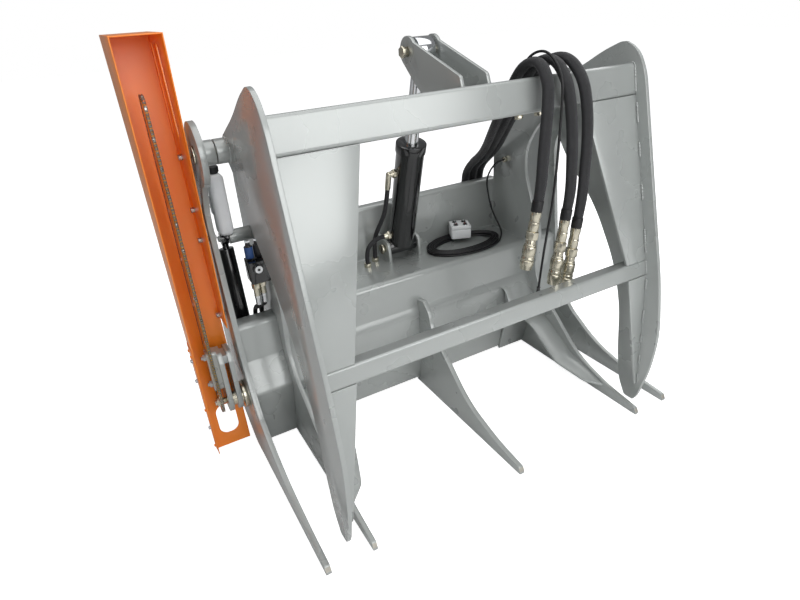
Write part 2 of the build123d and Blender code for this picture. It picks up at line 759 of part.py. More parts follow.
def saw_hub():
    """Hub through the side plate, with the crank at its inner end."""
    pin_y, pin_z = crank_place(-swing_half)
    crank_left = -outer_in + 14
    face = make_hull(
        (Pos(saw_y, saw_z) * Circle(36)).edges() + (Pos(pin_y, pin_z) * Circle(18)).edges())
    hub = bar_x_axis(arm_left, crank_left, saw_y, saw_z, hub_radius)
    hub += slab(face, crank_left, crank_left + 14)
    hub += bar_x_axis(crank_left, swing_x + 16, pin_y, pin_z, swing_pin)
    hub += bar_x_axis(crank_left + 14, motor_left, saw_y, saw_z, 17)
    return hub - bar_x_axis(arm_left, motor_left, saw_y, saw_z, drive_radius + hub_fit)


def saw_motor():
    """Hydraulic motor on the hub's inner end."""
    body = bar_x_axis(motor_left, motor_left + motor_length, saw_y, saw_z, motor_radius)
    return body - bar_x_axis(motor_left, motor_left + 20, saw_y, saw_z, drive_radius + 1)


def bar_loop():
    """Line that the chain runs on: round the sprocket, up the bar's sides and over its nose."""
    nose_y, nose_z = bar_nose
    straight = (nose_z - saw_z) / 2
    edge = outline([
        (saw_y - sprocket_radius, saw_z, 0), (saw_y - belly + 24, saw_z + 0.35 * straight, easy),
        (saw_y - belly + 18, saw_z + 0.85 * straight, easy),
        (saw_y - belly + 22, saw_z + 1.35 * straight, easy),
        (nose_y - nose_radius, nose_z, 0), (nose_y + nose_radius, nose_z, 0),
        (saw_y + belly - 2, saw_z + 1.35 * straight, easy), (saw_y + belly, saw_z + 0.85 * straight, easy),
        (saw_y + belly - 12, saw_z + 0.35 * straight, easy), (saw_y + sprocket_radius, saw_z, 0)])
    return edge + Pos(saw_y, saw_z) * Circle(sprocket_radius) + Pos(*bar_nose) * Circle(nose_radius)


def guide_bar():
    """Flat bar with a round notch for the sprocket and its two mounting holes."""
    bar = slab(bar_loop(), bar_x - bar_t / 2, bar_x + bar_t / 2)
    bar -= bar_x_axis(bar_x - bar_t, bar_x + bar_t, saw_y, saw_z, sprocket_radius + 14)
    for z in clamp_z:
        bar -= bar_x_axis(bar_x - bar_t, bar_x + bar_t, seat_y, z, clamp_bolt)
    return bar.solids().sort_by(SortBy.VOLUME)[-1]


def saw_chain():
    """Chain as one closed band round the bar."""
    loop = bar_loop()
    return slab(offset(loop, chain_height) - loop, bar_x - chain_t / 2, bar_x + chain_t / 2)


def clamp_face():
    low, high = clamp_z
    return Pos(seat_y, (low + high) / 2) * RectangleRounded(50, high - low + 46, 12)


def bar_clamp():
    """Plate that holds the bar on its seat, with two bolts and their nuts."""
    left = bar_x - bar_t / 2
    plate = slab(clamp_face(), left - clamp_t, left)
    for z in clamp_z:
        plate += bar_x_axis(left - clamp_t - 16, arm_left + arm_plate, seat_y, z, clamp_bolt)
        nut = (left - clamp_t, seat_y, z)
        plate += hexagon((nut[0] - 10, *nut[1:]), nut, 22)
    return plate


def drive_sprocket():
    """Toothed wheel on the drive shaft, with the nut on the shaft's outer end."""
    wheel = Circle(sprocket_radius - 0.5)
    for i in range(sprocket_teeth):
        turn = 2 * pi * i / sprocket_teeth
        wheel -= Pos(sprocket_radius * cos(turn), sprocket_radius * sin(turn)) * Circle(5.5)
    disc = slab(Pos(saw_y, saw_z) * wheel, bar_x - 4, bar_x + 4)
    shaft = bar_x_axis(bar_x - 20, motor_left + 18, saw_y, saw_z, drive_radius)
    nut = hexagon((bar_x - 14, saw_y, saw_z), (bar_x - 4, saw_y, saw_z), 30)
    return disc + shaft + nut


# ---- swing cylinder of the saw ----
def swing_eye():
    """Middle of the rod eye in (y, z): half the crank's sag away from its pin."""
    sag = crank_offset * (1 - cos(radians(swing_half)))
    out = Vector(cos(crank_middle()), sin(crank_middle()))
    return Vector(*crank_place(-swing_half)) + out * sag / 2


def swing_point(distance):
    """Point down the swing cylinder's axis from its top pin."""
    top = Vector(swing_top_y, swing_top_z)
    place = top + (swing_eye() - top).normalized() * distance
    return swing_x, place.X, place.Y


def swing_barrel():
    """Small cylinder hung from its top pin."""
    top = (swing_x - 12, swing_x + 12, swing_top_y, swing_top_z)
    end = swing_barrel_length
    body = bar_x_axis(*top, 22)
    body += round_bar(swing_point(12), swing_point(44), 11)
    body += round_bar(swing_point(36), swing_point(end), swing_radius)
    body -= round_bar(swing_point(56), swing_point(end), swing_rod_r + rod_fit)
    body -= round_bar(swing_point(56), swing_point(end - 24), swing_radius - 5)
    return body - bar_x_axis(*top, 10)


def swing_rod():
    """Rod, piston and wide-bored eye."""
    length = (swing_eye() - Vector(swing_top_y, swing_top_z)).length
    eye = swing_point(length)
    rod = round_bar(swing_point(swing_piston), swing_point(length - 20), swing_rod_r)
    rod += round_bar(
        swing_point(swing_piston), swing_point(swing_piston + 25), swing_radius - 5 - rod_fit)
    rod += bar_x_axis(swing_x - 11, swing_x + 11, eye[1], eye[2], 26)
    return rod - bar_x_axis(swing_x - 11, swing_x + 11, eye[1], eye[2], swing_pin + swing_play)


def swing_top_pin():
    """Boss and pin of the swing cylinder on the left inner plate, and a round cover below them."""
    boss = bar_x_axis(-inner_out, swing_x + 16, swing_top_y, swing_top_z, 24)
    boss += bar_x_axis(swing_x + 16, swing_x - 20, swing_top_y, swing_top_z, 10)
    cover = bar_x_axis(-inner_out, -inner_out - 12, *cover_place, cover_radius)
    return group([boss, cover])


# ---- left bay ----
def oil_bottle():
    """Bar oil bottle with its cap, on a small bracket of the outer side plate."""
    wide, deep, tall = bottle_size
    body = Pos(bottle_x, bottle_y, bottle_z + tall / 2) * Box(wide, deep, tall)
    body = fillet(body.edges(), 10)
    neck = Pos(bottle_x, bottle_y, bottle_z + tall + 3) * Cylinder(14, 10)
    cap = Pos(bottle_x, bottle_y, bottle_z + tall + 17) * Cylinder(19, 18)
    reach = bottle_inset - wide / 2
    bracket = Pos(-outer_in + reach / 2, bottle_y + 12, bottle_z + tall / 2) * Box(reach, 24, 60)
    return group([body + neck, cap, bracket])


def valve_block():
    """Valve block with a plug and two coils, and the tee behind the shelf where its hoses end."""
    wide, deep, tall = valve_size
    left = -inner_out - wide
    top = valve_z + tall / 2
    front = valve_y - deep / 2
    block = Pos(left + wide / 2, valve_y, valve_z) * Box(*valve_size)
    plug_place = (left + 26, valve_z + 16)
    plug = round_bar(
        (plug_place[0], front, plug_place[1]), (plug_place[0], front - 12, plug_place[1]), valve_plug)
    coils = []
    for x in (left + 16, left + 46):
        stem = round_bar((x, valve_y + 8, top), (x, valve_y + 8, top + 58), 8)
        can = round_bar((x, valve_y + 8, top + 4), (x, valve_y + 8, top + 46), coil_can)
        coils.append(stem + can)
    tee = Pos(-inner_out - tee_size[0] / 2, tee_y, tee_z - tee_size[2] / 2) * Box(*tee_size)
    return group([block + plug] + coils + [tee])


def bay_port(number):
    """Middle of a valve port, as (x, y)."""
    inset, y = bay_ports[number]
    return -inner_out - inset, y


def shelf_port(number):
    """Middle of a shelf fitting, as (x, y)."""
    aside, y = shelf_ports[number]
    return lift_x + aside, y


nut_length = 18.0
tail_length = 34.0
bay_hose_top = valve_z - valve_size[2] / 2 - nut_length - tail_length


def hose_fittings():
    """Fittings of the bay hoses below the valve block, and of the lift hoses on the shelf."""
    parts = []
    for number in range(2):
        x, y = shelf_port(number)
        parts.append(hexagon((x, y, shelf_z), (x, y, shelf_port_top), 27))
        x, y = bay_port(number)
        nut_foot = bay_hose_top + tail_length
        nut = hexagon((x, y, nut_foot + nut_length), (x, y, nut_foot), 26)
        parts.append(nut + round_bar((x, y, nut_foot), (x, y, bay_hose_top), 11))
    return group(parts)


def bay_hose_front():
    x, y = bay_port(0)
    return routed_tube([
        (x, y, bay_hose_top), (x, y, 578), (x + 1, y + 26, 555), (x + 2, y + 64, 541),
        (x + 1, y + 97, 511), (x, y + 110, 456), (x, y + 110, tee_z)], bay_hose_r, "bay hose front")


def bay_hose_rear():
    x, y = bay_port(1)
    return routed_tube([
        (x, y, bay_hose_top), (x, y, 580), (x + 1, y + 24, 558), (x + 2, y + 60, 543),
        (x + 2, y + 90, 510), (x + 1, y + 101, 456), (x + 1, y + 101, tee_z)],
        bay_hose_r, "bay hose rear")


# ---- control box and its cable ----
def cable_gland():
    """Gland through the right inner plate."""
    body = bar_x_axis(inner_in - 14, inner_out + 10, gland_y, gland_z, gland_radius)
    for a, b in ((inner_in - 14, inner_in), (inner_out, inner_out + 10)):
        body += hexagon((a, gland_y, gland_z), (b, gland_y, gland_z), 22)
    return body - bar_x_axis(inner_in - 14, inner_out + 10, gland_y, gland_z, cable_radius)


def control_cable():
    """Cable from the gland down the inner plate to the coil on the shelf."""
    return routed_tube([
        (inner_in - 14, gland_y, gland_z), (inner_in - 42, gland_y, gland_z), (inner_in - 68, 172, 806),
        (inner_in - 80, 188, 762), (inner_in - 72, 194, 712), (inner_in - 56, 197, 650),
        (inner_in - 36, 198, 596), (inner_in - 24, 178, 556), (inner_in - 30, 146, 532),
        (coil_x + coil_long - 6, 130, coil_end_z)], cable_radius, "control cable")


def cable_coil():
    """Outer shape of the coiled cable on the shelf."""
    ring_face = Ellipse(coil_long, coil_short) - Ellipse(coil_long - coil_band, coil_short - coil_band)
    coil = extrude(Plane.XY.offset(shelf_z) * Pos(coil_x, coil_y) * ring_face, coil_tall)
    return coil


def box_place():
    return Pos(coil_x + box_shift[0], coil_y + box_shift[1], shelf_z + coil_tall) * Rot(0, 0, box_turn)


def control_box():
    """Small box on the coil, with four holes for its buttons."""
    body = Pos(0, 0, box_tall / 2) * Box(box_long, box_wide, box_tall)
    body = fillet(body.edges().filter_by(Axis.Z), 9)
    body = fillet(body.faces().sort_by(Axis.Z)[-1].edges(), 4)
    for x, y in button_places:
        body -= Pos(x, y, box_tall - button_hole / 2) * Cylinder(button_r + button_gap, button_hole)
    return box_place() * body


def button(x, y):
    """Push button standing over its hole, with room below to travel."""
    stem = Pos(x, y, box_tall - button_hole + button_travel + 1) * Cylinder(
        button_r, button_hole + button_stand - button_travel - 1,
        align=(Align.CENTER, Align.CENTER, Align.MIN))
    return box_place() * stem


# ---- hoses over the upper tube ----
# Every route starts at the bracket; its points are (x, y, z) with x from the right inner plate.
hose_left = [
    (-98, 328, 660), (-98, 328, 738), (-98, 300, 788), (-110, 234, 834), (-138, 150, 882),
    (-177, 66, 938), (-238, -40, 1008), (-286, -140, 1088), (-312, -212, 1157), (-320, -258, 1222),
    (-334, -318, 1270), (-347, -394, 1282), (-357, -448, 1228), (-359, -453, 1160),
    (-362, -453, 1086), (-365, -453, 1010), (-366, -453, 930), (-379, -453, 853)]
hose_middle = [
    (-58, 328, 660), (-58, 328, 738), (-58, 300, 792), (-66, 230, 838), (-96, 150, 888),
    (-140, 58, 952), (-196, -50, 1026), (-238, -146, 1104), (-261, -214, 1168), (-271, -258, 1226),
    (-284, -318, 1274), (-288, -394, 1284), (-284, -448, 1226), (-266, -453, 1150),
    (-252, -453, 1072), (-244, -453, 986), (-238, -453, 892), (-252, -453, 798)]
hose_right = [
    (-18, 328, 660), (-18, 328, 742), (-18, 298, 798), (-28, 224, 852), (-54, 148, 904),
    (-98, 56, 974), (-152, -48, 1048), (-196, -142, 1120), (-222, -214, 1182), (-230, -260, 1234),
    (-236, -320, 1278), (-234, -396, 1284), (-220, -449, 1224), (-198, -453, 1142),
    (-186, -453, 1058), (-184, -453, 962), (-184, -453, 860), (-198, -453, 757)]
power_route = [
    (-78, 346, 660), (-78, 346, 742), (-78, 322, 808), (-86, 244, 856), (-114, 160, 904),
    (-156, 70, 960), (-215, -36, 1034), (-260, -134, 1108), (-286, -202, 1176), (-296, -250, 1240),
    (-308, -318, 1298), (-316, -400, 1306), (-320, -466, 1240), (-317, -466, 1150),
    (-314, -462, 1060), (-312, -458, 960), (-314, -452, 850), (-322, -444, 740), (-328, -438, 640),
    (-331, -434, 560)]
hoses = {"left": hose_left, "middle": hose_middle, "right": hose_right}


def from_plate(route):
    """Route with its x values moved to the frame's origin."""
    return [(inner_in + x, y, z) for x, y, z in route]


def power_cable():
    """Thin cable above the left and middle hoses; its end hangs behind the lower tube."""
    return routed_tube(from_plate(power_route), power_radius, "power cable")


def hose_bracket():
    """Bracket hung from the attaching plate's lip, with a fitting for each hose and the cable."""
    lip = shelf_depth + attach_lip
    starts = [from_plate(route)[0] for route in hoses.values()]
    middle, fitting_y, fitting_top = starts[1]
    wide = starts[2][0] - starts[0][0] + 40
    deep = fitting_y - lip + 26
    hanger = Pos(middle, lip + bracket_t / 2, (attach_top - lip_bend + bracket_z) / 2) * Box(
        wide, bracket_t, attach_top - lip_bend - bracket_z)
    ledge = Pos(middle, lip + deep / 2, bracket_z - bracket_t / 2) * Box(wide, deep, bracket_t)
    plate = hanger + ledge
    for x, y, z in starts:
        plate += hexagon((x, y, bracket_z - 20), (x, y, bracket_z + 22), bracket_hex)
        plate += round_bar((x, y, bracket_z), (x, y, fitting_top), hose_radius)
    x, y, z = from_plate(power_route)[0]
    return plate + round_bar((x, y, bracket_z - bracket_t), (x, y, z), power_radius)


def coupler_stack(route, length):
    """Quick coupler on a hose's end: ferrule, nut, body and sleeve, in line with the hose."""
    end = Vector(*route[-1])
    along = (end - Vector(*route[-2])).normalized()

    def place(share):
        return tuple(end + along * length * share)

    ferrule = round_bar(place(0), place(0.35), ferrule_radius)
    nut = hexagon(place(0.35), place(0.49), 38)
    body = round_bar(place(0.49), place(0.82), ferrule_radius + 2)
    sleeve = ring(place(0.82), place(1), ferrule_radius + 5, 12)
    return ferrule + nut + body + sleeve


def hose_couplers():
    """Quick coupler on the free end of each hose, pointing down."""
    sizes = zip(hoses.values(), coupler_length)
    return group([coupler_stack(from_plate(route), length) for route, length in sizes])


def lift_hose_upper():
    aside = -barrel_radius - port_reach
    return routed_tube([
        on_lift(upper_port - port_drop, aside), on_lift(upper_port - port_drop - 52, aside),
        (lift_x - 90, 138, 727), (lift_x - 99, 168, 676), (lift_x - 107, 198, 626),
        (*shelf_port(1), 576), (*shelf_port(1), shelf_port_top)], small_hose, "lift hose upper")


def lift_hose_lower():
    start = on_lift(lower_port, -barrel_radius - port_reach)
    return routed_tube([
        start, (start[0] - 27, *start[1:]), (lift_x - 140, 169, 611), (lift_x - 158, 172, 587),
        (*shelf_port(0), 558), (*shelf_port(0), shelf_port_top)], small_hose, "lift hose lower")


# ---- write the nodes ----
for side in sides:
    save(outer_plate(side), f"outer_plate_{names[side]}")
    save(inner_plate(side), f"inner_plate_{names[side]}")
    save(jaw_side(side), f"jaw_plate_{names[side]}")
front_plate = beam_skin()
back_plate = trough_plate()
save(front_plate, "beam_skin")
save(back_plate, "trough_plate")
save(centre_tine(front_plate, back_plate), "centre_tine")
save(bay_skins(), "bay_skins")
save(attach_plate(), "attach_plate")
save(tine_wings(), "tine_wings")
save(lift_lugs(), "lift_lugs")
save(frame_bosses(), "frame_bosses")
save(jaw_bosses(), "jaw_bosses")
save(frame_pins(), "frame_pins")
upper_tube = cross_tube(top_corner, top_tube, top_wall, top_bend)
lower_tube = cross_tube(low_corner, low_tube, low_wall, low_bend)
save(upper_tube, "top_tube")
save(lower_tube, "low_tube")
save(jaw_flanges(upper_tube + lower_tube), "jaw_flanges")
save(cylinder_ears(), "cylinder_ears")
save(ear_pin(), "ear_pin")
save(tube_bolts(), "tube_bolts")
save(lift_barrel(), "lift_barrel")
save(lift_rod(), "lift_rod")
save(lift_ports(), "lift_ports")
save(lift_hose_upper(), "lift_hose_upper")
save(lift_hose_lower(), "lift_hose_lower")
save(saw_guard(), "saw_guard")
save(guard_side_cover(), "guard_side_cover")
save(guard_bolts(), "guard_bolts")
save(swing_bearing(), "swing_bearing")
save(saw_arm(), "saw_arm")
save(saw_hub(), "saw_hub")
save(saw_motor(), "saw_motor")
save(guide_bar(), "guide_bar")
save(saw_chain(), "saw_chain")
save(bar_clamp(), "bar_clamp")
save(drive_sprocket(), "drive_sprocket")
save(swing_top_pin(), "swing_top_pin")
save(swing_barrel(), "swing_barrel")
save(swing_rod(), "swing_rod")
save(oil_bottle(), "oil_bottle")
save(valve_block(), "valve_block")
save(hose_fittings(), "hose_fittings")
save(bay_hose_front(), "bay_hose_front")
save(bay_hose_rear(), "bay_hose_rear")
save(cable_gland(), "cable_gland")
save(control_cable(), "control_cable")
save(cable_coil(), "cable_coil")
save(control_box(), "control_box")
for number, place in enumerate(button_places, start=1):
    save(button(*place), f"button_{number}")
save(hose_bracket(), "hose_bracket")
save(hose_couplers(), "hose_couplers")
for name, route in hoses.items():
    save(routed_tube(from_plate(route), hose_radius, f"hose {name}"), f"hose_{name}")
save(power_cable(), "power_cable")
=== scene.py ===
import bpy, json
from math import atan2, cos, pi, radians, sin
from mathutils import Matrix, Vector


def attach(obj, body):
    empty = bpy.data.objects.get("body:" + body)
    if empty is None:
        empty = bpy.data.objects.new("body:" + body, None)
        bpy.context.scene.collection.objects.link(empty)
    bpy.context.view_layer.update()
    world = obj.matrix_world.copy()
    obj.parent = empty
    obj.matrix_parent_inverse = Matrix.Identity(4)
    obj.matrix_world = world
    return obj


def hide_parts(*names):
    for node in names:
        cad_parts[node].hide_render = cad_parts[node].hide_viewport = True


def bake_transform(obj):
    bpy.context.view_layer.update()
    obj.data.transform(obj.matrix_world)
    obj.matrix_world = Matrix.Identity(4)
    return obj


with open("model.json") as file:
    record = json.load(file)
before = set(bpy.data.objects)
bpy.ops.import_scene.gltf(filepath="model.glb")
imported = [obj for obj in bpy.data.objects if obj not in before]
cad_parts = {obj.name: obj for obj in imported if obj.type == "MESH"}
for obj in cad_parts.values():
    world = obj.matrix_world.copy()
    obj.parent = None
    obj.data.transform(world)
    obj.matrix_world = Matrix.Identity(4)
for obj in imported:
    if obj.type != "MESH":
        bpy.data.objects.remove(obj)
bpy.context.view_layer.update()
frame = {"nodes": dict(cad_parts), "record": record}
nodes = frame["nodes"]
slotOf = {part["node"]: part["material_slot"] for part in frame["record"]["subparts"]}
bodyOf = {}
for bodyName, members in frame["record"]["behaviour"]["bodies"].items():
    for member in members:
        bodyOf[member] = bodyName
print("frame loaded")


# camera, light, floor
camera = {"at": (-0.9978, -1.7199, 1.4509), "heading": 28.0, "tilt": 27.9, "roll": -3.7, "lens": 25.2}
eye = bpy.data.objects.new("camera", bpy.data.cameras.new("camera"))
bpy.context.collection.objects.link(eye)
turn = (Matrix.Rotation(radians(-camera["heading"]), 4, "Z")
        @ Matrix.Rotation(radians(90 - camera["tilt"]), 4, "X"))
eye.matrix_world = Matrix.Translation(camera["at"]) @ turn @ Matrix.Rotation(radians(camera["roll"]), 4, "Z")
eye.data.lens = camera["lens"]
eye.data.clip_end = 60
bpy.context.scene.camera = eye
bpy.context.scene.view_settings.view_transform = "Standard"


def deselectAll():
    if bpy.context.object and bpy.context.object.mode != "OBJECT":
        bpy.ops.object.mode_set(mode="OBJECT")
    bpy.ops.object.select_all(action="DESELECT")


def toLinear(code):
    # sRGB hex to the linear values that a shader takes
    parts = [int(code[i:i + 2], 16) / 255 for i in (1, 3, 5)]
    return [c / 12.92 if c <= 0.04045 else ((c + 0.055) / 1.055) ** 2.4 for c in parts] + [1.0]


def newMaterial(name):
    mat = bpy.data.materials.new(name)
    mat.use_nodes = True
    mat.node_tree.nodes.clear()
    return mat


def addNode(mat, kind, values=None, links=None):
    # one node, its sockets and settings by name, and what feeds it
    node = mat.node_tree.nodes.new(kind)
    for key, value in (values or {}).items():
        if key in node.inputs:
            node.inputs[key].default_value = value
        else:
            setattr(node, key, value)
    for key, source in (links or {}).items():
        mat.node_tree.links.new(source, node.inputs[key])
    return node


def softLamp(name, size, power, at, aim):
    lamp = bpy.data.objects.new(name, bpy.data.lights.new(name, "AREA"))
    lamp.data.shape = "RECTANGLE"
    lamp.data.size, lamp.data.size_y = size
    lamp.data.energy = power
    bpy.context.collection.objects.link(lamp)
    aimed = (Vector(aim) - Vector(at)).to_track_quat("-Z", "Y").to_matrix().to_4x4()
    lamp.matrix_world = Matrix.Translation(at) @ aimed


softLamp("skylight", (4.5, 4.5), 85, (0.2, -0.6, 4.2), (0, 0, 0.5))
softLamp("leftPanel", (2.6, 2.6), 6, (-3.8, -1.2, 2.0), (0, 0, 0.6))
softLamp("frontPanel", (4.6, 3.0), 125, (0.3, -4.4, 2.4), (0, 0, 0.6))
softLamp("rightPanel", (2.4, 2.4), 30, (3.8, 0.6, 2.2), (0, 0, 0.6))

world = bpy.data.worlds.new("studio")
world.use_nodes = True
world.node_tree.nodes.clear()
bpy.context.scene.world = world
dome = addNode(world, "ShaderNodeBackground", {"Color": toLinear("#e4e6e8"), "Strength": 0.30})
backdrop = addNode(world, "ShaderNodeBackground", {"Color": (1, 1, 1, 1), "Strength": 1.0})
rays = addNode(world, "ShaderNodeLightPath")
pick = addNode(world, "ShaderNodeMixShader",
               links={0: rays.outputs["Is Camera Ray"], 1: dome.outputs[0], 2: backdrop.outputs[0]})
addNode(world, "ShaderNodeOutputWorld", links={"Surface": pick.outputs[0]})

deselectAll()
bpy.ops.mesh.primitive_plane_add(size=40, location=(0, 0, -0.0005))
floor = bpy.context.object
floor.name = "floor"
print("camera, lamps and floor set")


# materials
def silverEnamel(name="silverGreyEnamel", tone="#a8acaa"):
    # two-pack enamel sprayed over hot-rolled plate: smooth, wet-looking, faint orange peel and dust
    mat = newMaterial(name)
    place = addNode(mat, "ShaderNodeTexCoord")
    cloud = addNode(mat, "ShaderNodeTexNoise", {"Scale": 5.0, "Detail": 4.0, "Roughness": 0.6},
                    {"Vector": place.outputs["Object"]})
    # 9 mm, coarser than the real 3 mm so that it shows
    peel = addNode(mat, "ShaderNodeTexNoise", {"Scale": 1000 / 9, "Detail": 2.0},
                   {"Vector": place.outputs["Object"]})
    # 120 mm waviness of rolled plate
    wave = addNode(mat, "ShaderNodeTexNoise", {"Scale": 1000 / 120, "Detail": 1.0},
                   {"Vector": place.outputs["Object"]})
    tint = addNode(mat, "ShaderNodeValToRGB", links={"Fac": cloud.outputs["Fac"]})
    tint.color_ramp.elements[0].position, tint.color_ramp.elements[1].position = 0.3, 0.7
    tint.color_ramp.elements[0].color = toLinear(tone)
    tint.color_ramp.elements[1].color = [c * 1.03 for c in toLinear(tone)[:3]] + [1.0]
    dust = addNode(mat, "ShaderNodeTexNoise", {"Scale": 5.0, "Detail": 3.0, "Roughness": 0.5},
                   {"Vector": place.outputs["Object"]})
    matt = addNode(mat, "ShaderNodeMapRange",
                   {"From Min": 0.35, "From Max": 0.75, "To Min": 0.26, "To Max": 0.34},
                   {"Value": dust.outputs["Fac"]})
    low = addNode(mat, "ShaderNodeBump", {"Strength": 0.10, "Distance": 0.003}, {"Height": wave.outputs["Fac"]})
    fine = addNode(mat, "ShaderNodeBump", {"Strength": 0.035, "Distance": 0.0006},
                   {"Height": peel.outputs["Fac"], "Normal": low.outputs["Normal"]})
    skinShader = addNode(mat, "ShaderNodeBsdfPrincipled",
                         {"Metallic": 0.25, "Coat Weight": 0.6, "Coat Roughness": 0.18,
                          "Specular IOR Level": 0.6},
                         {"Base Color": tint.outputs["Color"], "Roughness": matt.outputs["Result"],
                          "Normal": fine.outputs["Normal"]})
    addNode(mat, "ShaderNodeOutputMaterial", links={"Surface": skinShader.outputs[0]})
    return mat


def orangePowder():
    # polyester powder coat baked on thin sheet: even orange, satin, a fine leathery peel
    mat = newMaterial("orangePowderCoat")
    place = addNode(mat, "ShaderNodeTexCoord")
    cloud = addNode(mat, "ShaderNodeTexNoise", {"Scale": 6.0, "Detail": 5.0},
                    {"Vector": place.outputs["Object"]})
    # 6 mm, coarser than the real 1.5 mm
    peel = addNode(mat, "ShaderNodeTexNoise", {"Scale": 1000 / 6, "Detail": 2.0},
                   {"Vector": place.outputs["Object"]})
    tint = addNode(mat, "ShaderNodeValToRGB", links={"Fac": cloud.outputs["Fac"]})
    tint.color_ramp.elements[0].color = toLinear("#ff8620")
    tint.color_ramp.elements[1].color = toLinear("#ff9a38")
    fine = addNode(mat, "ShaderNodeBump", {"Strength": 0.06, "Distance": 0.0006},
                   {"Height": peel.outputs["Fac"]})
    matt = addNode(mat, "ShaderNodeMapRange", {"To Min": 0.26, "To Max": 0.40}, {"Value": cloud.outputs["Fac"]})
    coat = addNode(mat, "ShaderNodeBsdfPrincipled", {"Coat Weight": 0.25, "Coat Roughness": 0.2},
                   {"Base Color": tint.outputs["Color"], "Roughness": matt.outputs["Result"],
                    "Normal": fine.outputs["Normal"]})
    addNode(mat, "ShaderNodeOutputMaterial", links={"Surface": coat.outputs[0]})
    return mat


def metalFinish(name, tone, rough, grain=1.5, worn=0.08):
    # plated or machined steel: mirror base with turning marks and handling smears
    mat = newMaterial(name)
    place = addNode(mat, "ShaderNodeTexCoord")
    smear = addNode(mat, "ShaderNodeTexNoise", {"Scale": 1000 / 22, "Detail": 5.0, "Roughness": 0.65},
                    {"Vector": place.outputs["Object"]})
    marks = addNode(mat, "ShaderNodeTexNoise", {"Scale": 1000 / grain, "Detail": 1.0},
                    {"Vector": place.outputs["Object"]})
    tint = addNode(mat, "ShaderNodeValToRGB", links={"Fac": smear.outputs["Fac"]})
    tint.color_ramp.elements[0].color = [c * 0.8 for c in toLinear(tone)[:3]] + [1.0]
    tint.color_ramp.elements[1].color = toLinear(tone)
    tint.color_ramp.elements[0].position, tint.color_ramp.elements[1].position = 0.32, 0.6
    matt = addNode(mat, "ShaderNodeMapRange", {"To Min": rough, "To Max": rough + worn * 2},
                   {"Value": smear.outputs["Fac"]})
    fine = addNode(mat, "ShaderNodeBump", {"Strength": 0.05, "Distance": 0.0003},
                   {"Height": marks.outputs["Fac"]})
    metal = addNode(mat, "ShaderNodeBsdfPrincipled", {"Metallic": 1.0},
                    {"Base Color": tint.outputs["Color"], "Roughness": matt.outputs["Result"],
                     "Normal": fine.outputs["Normal"]})
    addNode(mat, "ShaderNodeOutputMaterial", links={"Surface": metal.outputs[0]})
    return mat


def plainFinish(name, tone, rough, grain, depth, coat=0.0, glow=0.0):
    # moulded plastic, rubber or gloss black paint: one colour, a fine skin and slightly uneven shine
    mat = newMaterial(name)
    place = addNode(mat, "ShaderNodeTexCoord")
    fog = addNode(mat, "ShaderNodeTexNoise", {"Scale": 1000 / 40, "Detail": 5.0},
                  {"Vector": place.outputs["Object"]})
    pore = addNode(mat, "ShaderNodeTexNoise", {"Scale": 1000 / grain, "Detail": 3.0},
                   {"Vector": place.outputs["Object"]})
    tint = addNode(mat, "ShaderNodeValToRGB", links={"Fac": fog.outputs["Fac"]})
    tint.color_ramp.elements[0].color = [c * 0.86 for c in toLinear(tone)[:3]] + [1.0]
    tint.color_ramp.elements[1].color = toLinear(tone)
    matt = addNode(mat, "ShaderNodeMapRange", {"To Min": rough, "To Max": min(rough + 0.16, 1.0)},
                   {"Value": fog.outputs["Fac"]})
    fine = addNode(mat, "ShaderNodeBump", {"Strength": depth, "Distance": 0.0004},
                   {"Height": pore.outputs["Fac"]})
    body = addNode(mat, "ShaderNodeBsdfPrincipled",
                   {"Coat Weight": coat, "Coat Roughness": 0.05, "Subsurface Weight": glow,
                    "Subsurface Radius": (0.01, 0.01, 0.01)},
                   {"Base Color": tint.outputs["Color"], "Roughness": matt.outputs["Result"],
                    "Normal": fine.outputs["Normal"]})
    addNode(mat, "ShaderNodeOutputMaterial", links={"Surface": body.outputs[0]})
    return mat


def wovenSleeve():
    # nylon abrasion sleeve: a tight basket weave, drawn at 5 mm so that it shows, with a soft sheen
    mat = newMaterial("wovenNylonSleeve")
    place = addNode(mat, "ShaderNodeUVMap", {"uv_map": "along"})
    grid = addNode(mat, "ShaderNodeMapping", {"Scale": (1000 / 5, 1000 / 5, 1.0)},
                   {"Vector": place.outputs["UV"]})
    weave = addNode(mat, "ShaderNodeTexChecker",
                    {"Scale": 1.0, "Color1": (0.2, 0.2, 0.2, 1), "Color2": (0.8, 0.8, 0.8, 1)},
                    {"Vector": grid.outputs["Vector"]})
    rib = addNode(mat, "ShaderNodeTexWave", {"Scale": 3.0, "Distortion": 0.6, "Detail": 2.0},
                  {"Vector": grid.outputs["Vector"]})
    fuzz = addNode(mat, "ShaderNodeTexNoise", {"Scale": 0.35, "Detail": 5.0},
                   {"Vector": grid.outputs["Vector"]})
    tint = addNode(mat, "ShaderNodeValToRGB", links={"Fac": fuzz.outputs["Fac"]})
    tint.color_ramp.elements[0].color = toLinear("#121214")
    tint.color_ramp.elements[1].color = toLinear("#252528")
    height = addNode(mat, "ShaderNodeMath", {"operation": "ADD"},
                     {0: weave.outputs["Fac"], 1: rib.outputs["Fac"]})
    bumped = addNode(mat, "ShaderNodeBump", {"Strength": 0.35, "Distance": 0.0006},
                     {"Height": height.outputs[0]})
    cloth = addNode(mat, "ShaderNodeBsdfPrincipled",
                    {"Roughness": 0.62, "Sheen Weight": 0.18, "Sheen Roughness": 0.4,
                     "Sheen Tint": (0.80, 0.80, 0.82, 1)},
                    {"Base Color": tint.outputs["Color"], "Normal": bumped.outputs["Normal"]})
    addNode(mat, "ShaderNodeOutputMaterial", links={"Surface": cloth.outputs[0]})
    return mat


